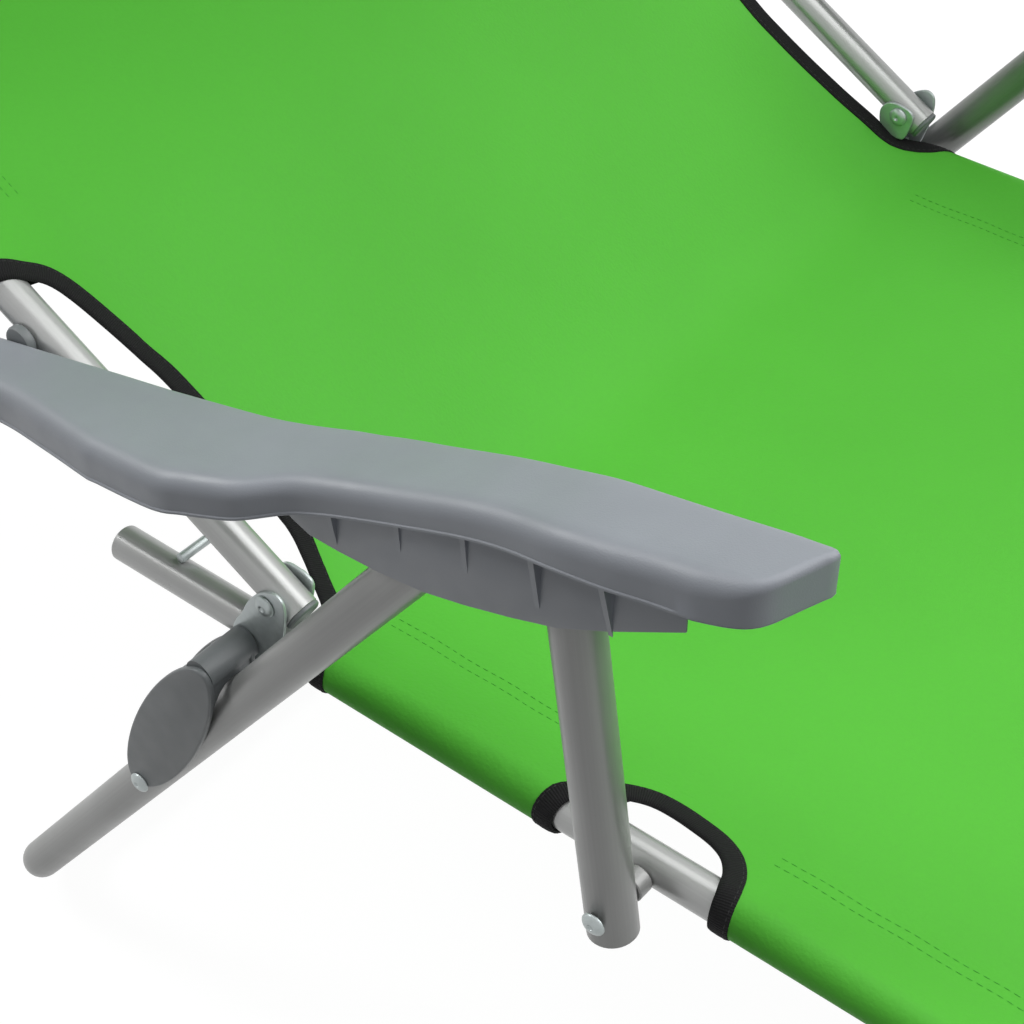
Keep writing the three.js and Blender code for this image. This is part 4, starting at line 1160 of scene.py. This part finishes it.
class LOUNGER_OT_armrests(LoungerOperator):
    """Moulds the two armrests with their webs and gussets"""
    bl_idname = "lounger.armrests"
    bl_label = "Armrests"

    def make(self, colours, sizes):
        self.curve = armrest_curve()
        shell = self.shell(sizes.shoulder)
        for near, far in (INNER_WEB, OUTER_WEB):
            shell.join(slab(self.web_outline(), near, far, 0.45, 2))
        for x, tip in GUSSETS:
            shell.join(self.gusset(x, tip))
        pair(shell, "armrest", FINISH["armrest"], "arms", "grey_plastic", "armrest", angle=40.0)
        # The stub is grey plastic, but it takes the dark plastic finish: painted shade, for the
        # shade that it sits in under the armrest.
        stub = turned([(0, 0), (7.4, 0), (8, 0.8), (8, 3.4), (7.4, 4.6), (6.2, 5.1), (0, 5.2)],
                      across(on_back(ARM_STUB_UP, ARM_STUB_LIFT), RAIL_Y + RAIL_RADIUS + 0.35),
                      ACROSS)
        pair(stub, "arm_stub", FINISH["jaw"], "back_frame", "grey_plastic", "arm_stub")

    def top(self, x, column=1):
        """The height of the armrest's top at a place, or another of its measures there."""
        return float(np.interp(x, self.curve[:, 0], self.curve[:, column]))

    def shell(self, shoulder):
        loop = armrest_outline()
        normal = sideways(loop)
        outer = np.clip(normal[:, 1] * 0.5 + 0.5, 0, 1)
        radius = INNER_SHOULDER + (shoulder - INNER_SHOULDER) * outer ** 1.5
        radius = np.where(loop[:, 0] > NOSE_START, NOSE_SHOULDER, radius)
        radius = np.minimum(evened(radius, 6), self.tightest(loop, normal))
        radius = evened(radius, 2)
        rim = np.array([self.top(x, 4) for x in loop[:, 0]])
        lip = np.clip((250 - loop[:, 0]) / 14, 0.15, 1)
        rings = [(-0.2, 0.1, 0), (-0.5, 0.4, 0), (-0.5, 1.3, 0), (0, 1.8, 0)]
        rings += [(1 - math.cos(math.radians(a)), math.sin(math.radians(a)) - 1, 1)
                  for a in (0, 15, 30, 45, 60, 75, 90)]
        points, count = [], len(loop)
        for inset, height, scaled in rings:
            spots = loop - normal * (inset * (radius if scaled else lip))[:, None]
            lift = height * radius if scaled else height - rim
            points += [(x, y, self.top(x) + h) for (x, y), h in zip(spots, lift)]
        shape = Shape().add(points, bands(len(rings), count))
        shape.join(self.cap(loop - normal * radius[:, None], 0.0, 5.0))
        wall = loop - normal * np.minimum(ARMREST_WALL, radius)[:, None]
        low = [(x, y, self.top(x) - depth + 0.1) for (x, y), depth in zip(wall, rim)]
        high = [(x, y, self.top(x) - ARMREST_WALL - 0.4) for x, y in wall]
        edge = [(x, y, self.top(x) - depth + 0.1)
                for (x, y), depth in zip(loop + normal * 0.2, rim)]
        shape.add(edge + low, bands(2, count))
        shape.add(low + high, bands(2, count))
        shape.join(self.cap(wall, -ARMREST_WALL - 0.4, 12.0))
        return outward(shape, weld=True)

    def tightest(self, loop, normal):
        """The largest rounding that each place of an outline can take without folding over."""
        step = np.roll(loop, -1, 0) - np.roll(loop, 1, 0)
        opening = np.roll(normal, -1, 0) - np.roll(normal, 1, 0)
        limit = 0.8 * np.linalg.norm(step, axis=1) / np.maximum(
            np.linalg.norm(opening, axis=1), 1e-4)
        limit = np.where(np.sum(opening * step, axis=1) < 0, 99.0, limit)
        for _ in range(2):
            limit = np.minimum(limit, np.minimum(np.roll(limit, 1), np.roll(limit, -1)))
        return limit

    def cap(self, loop, height, step):
        """The armrest's top or its underside, filled in from its outline."""
        low, high = loop.min(0), loop.max(0)
        grid = np.array([(x, y) for x in np.arange(low[0], high[0], step)
                         for y in np.arange(low[1], high[1], step)])
        flat, faces = filled(loop, grid[inside(grid, grow(loop, -step * 0.45))])
        return Shape().add([(x, y, self.top(x) + height) for x, y in flat], faces)

    def web_outline(self):
        return WEB_LOWER_EDGE + [(x, self.top(x) - 2.0) for x, _ in reversed(WEB_LOWER_EDGE)]

    def gusset(self, x, tip):
        """A thin triangular rib between the outer web and the rim."""
        reach = ARM_INNER + self.top(x, 2) - 1.6
        face, top = LEG_Y + 12.0, self.top(x) - 4.0
        rim = self.top(x) - self.top(x, 4) + 0.6
        points, faces = [], [(0, 1, 2, 3), (7, 6, 5, 4)]
        for place, thin in ((x - 1.6, 0.6), (x + 1.6, -0.6)):
            points += [(place + thin, face, tip - 6.0), (place, face, top),
                       (place, reach, rim + 4.0), (place + thin * 0.4, reach, rim)]
        faces += [(i, 4 + i, 4 + (i + 1) % 4, (i + 1) % 4) for i in range(4)]
        return outward(Shape().add(points, faces))

# A leaf of the jaw is an ellipse between pivot and rivet. The barrel is round where it is plain.
LEAF_HALF_LENGTH, LEAF_HALF_WIDTH, BARREL_RADIUS = 63.2, 17.6, 8.2
LEAF_BACK, LEAF_SIDE, LEAF_TILT = 1.51, 0.51, math.radians(2.1)
LEAF_OUTER, LEAF_INNER = 3.6, 3.2


class LOUNGER_OT_jaws(LoungerOperator):
    """Moulds the jaws that straddle the rear leg"""
    bl_idname = "lounger.jaws"
    bl_label = "Jaws"
    play = LEG_RADIUS + 0.6

    def make(self, colours, sizes):
        pivot = joint_place("jaw_swing")
        run = (JAW_RIVET - pivot).normalized()
        middle = (pivot + JAW_RIVET) / 2 - run * LEAF_BACK
        middle -= Vector((-run.z, 0, run.x)) * LEAF_SIDE
        turn = math.atan2(run.z, run.x) - LEAF_TILT
        outline = [self.on_edge(middle, turn, 2 * math.pi * k / 84) for k in range(84)]
        far, near = LEG_Y + self.play, LEG_Y - self.play
        shape = slab(outline, far, far + LEAF_OUTER, 1.1, 4)
        shape.join(slab(outline, near - LEAF_INNER, near, 1.1, 4))
        shape.join(self.barrel(pivot, np.array(outline)))
        pair(shape, "jaw", FINISH["jaw"], "jaws", "dark_plastic", "jaw")

    def on_edge(self, middle, turn, angle):
        """A place on the edge of a leaf, which is an ellipse."""
        x, z = LEAF_HALF_LENGTH * math.cos(angle), LEAF_HALF_WIDTH * math.sin(angle)
        return (middle.x + x * math.cos(turn) - z * math.sin(turn),
                middle.z + x * math.sin(turn) + z * math.cos(turn))

    def barrel(self, pivot, outline):
        """The boss between the leaves. It swells into both round the leg that passes it."""
        heights = [EAR_FACE + 0.4, EAR_FACE + 0.8, LEG_Y - self.play - 1.0]
        heights += [LEG_Y + h for h in np.linspace(-self.play, self.play, 25)]
        heights.append(LEG_Y + self.play + 0.5)
        size, vertices = 72, []
        ways = outline - np.array([pivot.x, pivot.z])
        bearing, reach = np.arctan2(ways[:, 1], ways[:, 0]), np.linalg.norm(ways, axis=1)
        for i, y in enumerate(heights):
            swell = 20.0 - math.sqrt(max(0.0, LEG_RADIUS ** 2 - (y - LEG_Y) ** 2))
            for k in range(size):
                angle = 2 * math.pi * k / size
                edge = float(np.interp(angle, bearing % (2 * math.pi), reach, period=2 * math.pi))
                radius = BARREL_RADIUS if i else BARREL_RADIUS - 0.4
                if i > 2:
                    radius = max(BARREL_RADIUS, min(swell, edge - 1.2))
                vertices.append((pivot.x + radius * math.cos(angle), y,
                                 pivot.z + radius * math.sin(angle)))
        return outward(Shape().add(vertices, closed_bands(len(heights), size)))


def dome(radius, height, shank, depth):
    """A domed rivet head on its rim, with a short shank below."""
    return [(0.01, -depth), (shank, -depth), (shank, 0), (radius, 0), (radius, height * 0.22),
            (radius * 0.93, height * 0.4), (radius * 0.8, height * 0.62),
            (radius * 0.58, height * 0.84), (radius * 0.36, height * 0.95),
            (radius * 0.27, height * 0.92), (radius * 0.18, height * 0.6), (0.01, height * 0.5)]


# The outlines of the hinge bracket's ears: the outer one, and the inner one above the cloth.
HINGE_EAR = [
    (-14.8, -10.6), (-12.4, -5.5), (-8, 0.8), (-3.9, 5.1), (1.3, 8.5), (6.2, 9.9), (10.2, 7.5),
    (11.5, 1.6), (10.7, -6.8), (8.7, -16.2), (5.2, -26), (-1, -33.5), (-8.5, -37.6), (-14.5, -38.7),
    (-19.8, -37.2), (-23, -33), (-23.2, -27), (-20.6, -20.5), (-17, -15)]
INNER_EAR = [
    (-12.8, -1), (-11.6, 2.8), (-8.6, 6), (-4.5, 7.6), (1, 7.4), (6.4, 6), (9, 3.4), (9, -0.5),
    (7.6, -6.8), (5.6, -12.4), (3, -14.4), (-3, -13.8), (-9, -11.6), (-12, -7.4)]
EAR_NEAR, EAR_FAR = 9.4, 11.4
FRONT_EAR_NEAR, FRONT_EAR_FAR, FRONT_EAR_RADIUS = 11.35, 13.35, 11.0


class LOUNGER_OT_fittings(LoungerOperator):
    """Presses the brackets and sets the rivets, bolts and spacers"""
    bl_idname = "lounger.fittings"
    bl_label = "Brackets and rivets"

    def make(self, colours, sizes):
        zinc = FINISH["zinc"]
        ear, inner = (curve_through(outline, closed=True, spacing=1.6)
                      for outline in (HINGE_EAR, INNER_EAR))
        flange = [place for place in ear if place[1] < -26.5]
        neck = [(-9, -20.9), (-9, -15.6), (5, -15.6), (5, -20.9)]
        jaw = joint_place("jaw_swing")
        shape = self.pressed(
            (ear, EAR_NEAR, EAR_FAR, 0.7, 3), (inner, -EAR_FAR, -EAR_NEAR, 0.7, 3),
            (flange, -EAR_FAR, -EAR_NEAR, 0.4, 2), (neck, -5.5, -3.5, 0.4, 2),
            (self.floor_of(jaw.x, jaw.z - 9.4, 5), -EAR_FAR, EAR_FAR, 0.4, 2))
        pair(shape, "hinge_bracket", zinc, "seat_frame", "zinc", "hinge_bracket", "jaw_pin")
        front, half = joint_place("front_leg_fold"), FRONT_EAR_RADIUS
        top = RAIL_Z - RAIL_RADIUS - 0.35
        arc = [(front.x + half * math.cos(a), front.z + half * math.sin(a))
               for a in np.linspace(math.pi, 2 * math.pi, 24)]
        ear = [(front.x + half, top), (front.x - half, top)] + arc
        shape = self.pressed(
            (ear, FRONT_EAR_NEAR, FRONT_EAR_FAR, 0.6, 3),
            (ear, -FRONT_EAR_FAR, -FRONT_EAR_NEAR, 0.6, 3),
            (self.floor_of(front.x, top, half), -FRONT_EAR_FAR, FRONT_EAR_FAR, 0.4, 2))
        pair(shape, "front_leg_bracket", zinc, "seat_frame", "zinc", "front_leg_bracket")
        self.rivets(zinc)
        profile = [(3.4, 0.35), (6.1, 0.35), (6.75, 1.0), (6.75, 8.1), (6.1, 8.7), (3.4, 8.7),
                   (3.4, 0.35)]
        spacer = turned(profile, across(joint_place("post_swing"), RAIL_Y + RAIL_RADIUS), ACROSS)
        pair(spacer, "post_spacer", FINISH["legs"], "seat_frame", "grey_plastic", "post_spacer")

    def pressed(self, *plates):
        """Plates beside the left rail: an outline, where it starts and ends, and its bevel."""
        shape = Shape()
        for outline, near, far, bevel, steps in plates:
            shape.join(slab(outline, RAIL_Y + near, RAIL_Y + far, bevel, steps))
        return shape

    def floor_of(self, x, top, half):
        """The outline of a bracket's floor, 2 mm thick."""
        return [(x - half, top), (x - half, top - 2), (x + half, top - 2), (x + half, top)]

    def rivets(self, finish):
        template = turned(dome(5.5, 2.7, 3.0, 1.2), (0, 0, 0), ACROSS, 28)
        template = template.piece("rivet_template", finish)
        template.data.transform(Matrix.Translation(-HINGE))
        post, leg = joint_place("post_swing"), joint_place("front_leg_fold")
        seat, jaws = [], []
        for side in (1, -1):
            for place, offset, way in (
                    (Vector(), EAR_FAR + 0.3, 1), (Vector(), -EAR_FAR - 0.3, -1),
                    (post, LEG_Y - RAIL_Y + LEG_RADIUS + 0.35, 1),
                    (leg, FRONT_EAR_FAR + 0.35, 1), (leg, -FRONT_EAR_FAR - 0.35, -1)):
                seat.append((place.x, side * (RAIL_Y + offset), place.z, way * side))
            jaws.append((JAW_RIVET.x, side * (LEG_Y + LEG_RADIUS + 4.4), JAW_RIVET.z, side))
        settle(set_on("seat_rivets", template, seat, finish), "seat_frame", "zinc",
               *[f"{n}_{h}" for h in HANDS for n in ("hinge_pin", "post_bolt", "front_leg_pin")])
        settle(set_on("jaw_rivets", template, jaws, finish), "jaws", "zinc",
               *[f"jaw_rivet_{h}" for h in HANDS])
        bpy.data.objects.remove(template)
        pins = Shape()
        profile = [(0.01, -2.6), (4.6, -2.6), (5.5, -1.6), (5.5, -0.4), (3.0, -0.4), (3.0, 25.8),
                   (0.01, 25.8)]
        for joint in ("arm_swing", "rear_leg_swing"):
            pins.join(turned(profile, across(joint_place(joint), ARM_INNER), ACROSS, 28))
        pair(pins, "arm_pins", finish, "arms", "zinc", "arm_post_pin", "arm_leg_pin")


# The outline of a foot: its round, and its sole's half width and depth below the bar.
PAD_ROUND, PAD_SOLE_HALF, PAD_DEPTH = 11.9, 6.4, 13.3


class LOUNGER_OT_feet(LoungerOperator):
    """Moulds the clips that the ground bars stand on"""
    bl_idname = "lounger.feet"
    bl_label = "Feet"

    def make(self, colours, sizes):
        front = joint_place("front_leg_fold").x + FRONT_LEG_FORWARD
        for name, x in (("rear_leg", REAR_BAR_X), ("front_leg", front)):
            outline = [(x + PAD_ROUND * math.cos(a), GROUND_BAR_Z + PAD_ROUND * math.sin(a))
                       for a in np.linspace(-0.75, math.pi + 0.75, 40)]
            outline += [(x + side * PAD_SOLE_HALF, GROUND_BAR_Z - PAD_DEPTH) for side in (-1, 1)]
            start = (PAD_SPACING - PAD_LENGTH) / 2
            pad = slab(outline, start, start + PAD_LENGTH, 1.0, 3)
            pair(pad, f"{name}_pad", FINISH["jaw"], name, "dark_plastic", f"{name}_pad")


HUB_GAP, HUB_WALL, HUB_HALF_LENGTH = 2.05, 3.0, 19.0


class LOUNGER_OT_canopy(LoungerOperator):
    """Stretches the canopy's cloth over its frame and makes its two hubs"""
    bl_idname = "lounger.canopy"
    bl_label = "Canopy"

    def make(self, colours, sizes):
        hub, shoulder, front = canopy_places()
        hem = hub + canopy_upwards() * (CANOPY_REAR_BAR + 12.0)
        path = bent([front, shoulder, hem], [CANOPY_BEND_RADIUS], 3.0)
        fine = []
        for a, b in zip(path, path[1:]):
            count = max(1, round((b - a).length / 12))
            fine += [a.lerp(b, k / count) for k in range(count)]
        cloth = Cloth(fine + [path[-1]], CANOPY_Y, CANOPY_RADIUS, inset=26.0, sag=8.0,
                      thickness=1.2, tail=12.0)
        sheet, lift = cloth.cut("canopy_sheet", (), 12.0), 0.7
        rows = [[cloth.place(s, side * (cloth.seam + 4 + shift), lift)
                 for s in np.linspace(4, cloth.length - 4, 90)]
                for side in (1, -1) for shift in (-3.0, 3.0)]
        seams = stitched("canopy_seams", rows + cloth.hem_rows((5.0, 13.0), 6, lift), sizes.pitch,
                         sizes.stitch, sizes.thread, FINISH["thread"])
        settle(sheet, "canopy", "green_cloth", "canopy_cloth")
        settle(seams, "canopy", "green_cloth")
        2 * cloth.edge * MM
        self.hubs(hub)

    def hubs(self, hub):
        """A half collar on the back tube, with a boss, a stud and a grip knob."""
        way = on_back(1)
        inner = RAIL_RADIUS + HUB_GAP
        outer, count = inner + HUB_WALL, 24
        upward, points = on_back(0, 1), []
        for along in (-HUB_HALF_LENGTH, HUB_HALF_LENGTH):
            for radius in (inner, outer):
                for k in range(count + 1):
                    angle = math.radians(-90 + 180 * k / count)
                    out = Vector(ACROSS) * math.cos(angle) + upward * math.sin(angle)
                    points.append(across(hub, RAIL_Y) + way * along + out * radius)
        size = count + 1
        faces = [(a * size + k, a * size + k + 1, b * size + k + 1, b * size + k)
                 for k in range(count) for a, b in ((0, 1), (1, 3), (3, 2), (2, 0))]
        faces += [(0, size, 3 * size, 2 * size),
                  (size - 1, 2 * size - 1, 4 * size - 1, 3 * size - 1)]
        shape = outward(Shape().add(points, faces))
        boss = [(0.01, -1.5), (18.2, -1.5), (19, -0.7), (19, 2.2), (18.2, 3.0), (3.0, 3.0),
                (3.0, 19.0), (0.01, 19.0)]
        shape.join(turned(boss, across(hub, RAIL_Y + outer), ACROSS, 48))
        knob = [(0.01, 0), (14.0, 0), (15, 0.5), (15, 2.8), (14.2, 3.6), (11, 4.0), (0.01, 4.0)]
        shape.join(turned(knob, across(hub, CANOPY_Y + CANOPY_RADIUS + 0.35), ACROSS, 60))
        pair(shape, "canopy_hub", FINISH["jaw"], "back_frame", "dark_plastic", "canopy_hub")


# The stage: the world's level on diffuse rays, the floor's grey, how strongly it glows, how much
# of that the rays for the background see, and its half width in metres.
WORLD_LEVEL = 0.2
FLOOR_GREY, FLOOR_GLOW, FLOOR_SHARE, FLOOR_REACH = 0.22, 1.72, 0.56, 12.0
# Each lamp: its name, place, aim, size in metres and power.
LAMPS = (("overhead", (100, 200, 1900), (0, 0, 0), 2.4, 24.0),
         ("front", (1900, 900, 2000), (-200, 0, 100), 2.2, 48.0),
         ("side", (-1600, -850, 1400), (0, 0, 0), 0.8, 18.0))


class LOUNGER_OT_stage(LoungerOperator):
    """Sets the floor, the light and the camera"""
    bl_idname = "lounger.stage"
    bl_label = "Stage"

    def make(self, colours, sizes):
        self.camera()
        self.floor()
        world = bpy.data.worlds.new("Studio")
        bpy.context.scene.world = world
        world.use_nodes = True
        sky = Wiring(world.node_tree)
        level = sky.white_rays() * (1 - WORLD_LEVEL) + WORLD_LEVEL
        light = sky.node("ShaderNodeBackground", None, {"Color": (1, 1, 1, 1), "Strength": level})
        sky.node("ShaderNodeOutputWorld", None, {"Surface": light})
        for lamp in LAMPS:
            self.lamp(*lamp)
        bpy.context.scene.view_settings.view_transform = "Standard"

    def camera(self):
        azimuth, elevation, roll = CAMERA_AZIMUTH, CAMERA_ELEVATION, CAMERA_ROLL
        back = Vector((math.sin(azimuth) * math.cos(elevation),
                       -math.cos(azimuth) * math.cos(elevation), math.sin(elevation)))
        right = Vector((math.cos(azimuth), math.sin(azimuth), 0))
        up = back.cross(right)
        right, up = (right * math.cos(roll) + up * math.sin(roll),
                     up * math.cos(roll) - right * math.sin(roll))
        data = bpy.data.cameras.new("camera")
        data.lens, data.sensor_width, data.clip_start = CAMERA_LENS, CAMERA_SENSOR, 0.01
        camera = linked("camera", data)
        turn = Matrix((right, up, back)).transposed().to_4x4()
        camera.matrix_world = Matrix.Translation(spot(*CAMERA_PLACE)) @ turn
        bpy.context.scene.camera = camera

    def lamp(self, name, place, aim, size, power):
        data = bpy.data.lights.new(name, "AREA")
        data.shape, data.size, data.energy = "DISK", size, power
        lamp = linked(name, data)
        turn = (spot(*place) - spot(*aim)).to_track_quat("Z", "Y").to_matrix().to_4x4()
        lamp.matrix_world = Matrix.Translation(spot(*place)) @ turn

    def floor(self):
        mesh = bpy.data.meshes.new("floor")
        far = FLOOR_REACH
        mesh.from_pydata([(-far, -far, 0), (far, -far, 0), (far, far, 0), (-far, far, 0)], [],
                         [(0, 1, 2, 3)])
        recipe = Recipe("Pale floor", (0.9, 0.9, 0.9))
        lit = recipe.node("ShaderNodeBsdfDiffuse", None, {"Color": (*[FLOOR_GREY] * 3, 1)})
        glow = recipe.node("ShaderNodeEmission", None, {
            "Color": (1, 1, 1, 1), "Strength": FLOOR_GLOW})
        share = recipe.white_rays() * FLOOR_SHARE
        mesh.materials.append(recipe.finished(recipe.node("ShaderNodeMixShader", None, {
            0: share, 1: lit, 2: glow})))
        linked("floor", mesh)


STEPS = (LOUNGER_OT_finishes, LOUNGER_OT_stage, LOUNGER_OT_tubes, LOUNGER_OT_sling,
         LOUNGER_OT_armrests, LOUNGER_OT_jaws, LOUNGER_OT_fittings, LOUNGER_OT_feet,
         LOUNGER_OT_canopy)


class LOUNGER_PT_panel(bpy.types.Panel):
    """Lists the steps and what a user can change"""
    bl_label = "Sun lounger"
    bl_idname = "LOUNGER_PT_panel"
    bl_space_type = "VIEW_3D"
    bl_region_type = "UI"
    bl_category = "Lounger"

    def draw(self, context):
        layout = self.layout
        for step in STEPS:
            layout.operator(step.bl_idname)
        for group in (context.scene.lounger_colours, context.scene.lounger_sizes):
            column = layout.column(align=True)
            for name in group.__annotations__:
                column.prop(group, name)


CLASSES = (LoungerColours, LoungerSizes, *STEPS, LOUNGER_PT_panel)


def register():
    for item in CLASSES:
        bpy.utils.register_class(item)
    bpy.types.Scene.lounger_colours = bpy.props.PointerProperty(type=LoungerColours)
    bpy.types.Scene.lounger_sizes = bpy.props.PointerProperty(type=LoungerSizes)


def unregister():
    del bpy.types.Scene.lounger_sizes
    del bpy.types.Scene.lounger_colours
    for item in reversed(CLASSES):
        bpy.utils.unregister_class(item)


def main():
    register()
    for step in STEPS:
        group, name = step.bl_idname.split(".")
        getattr(getattr(bpy.ops, group), name)()


if __name__ == "__main__":
    main()
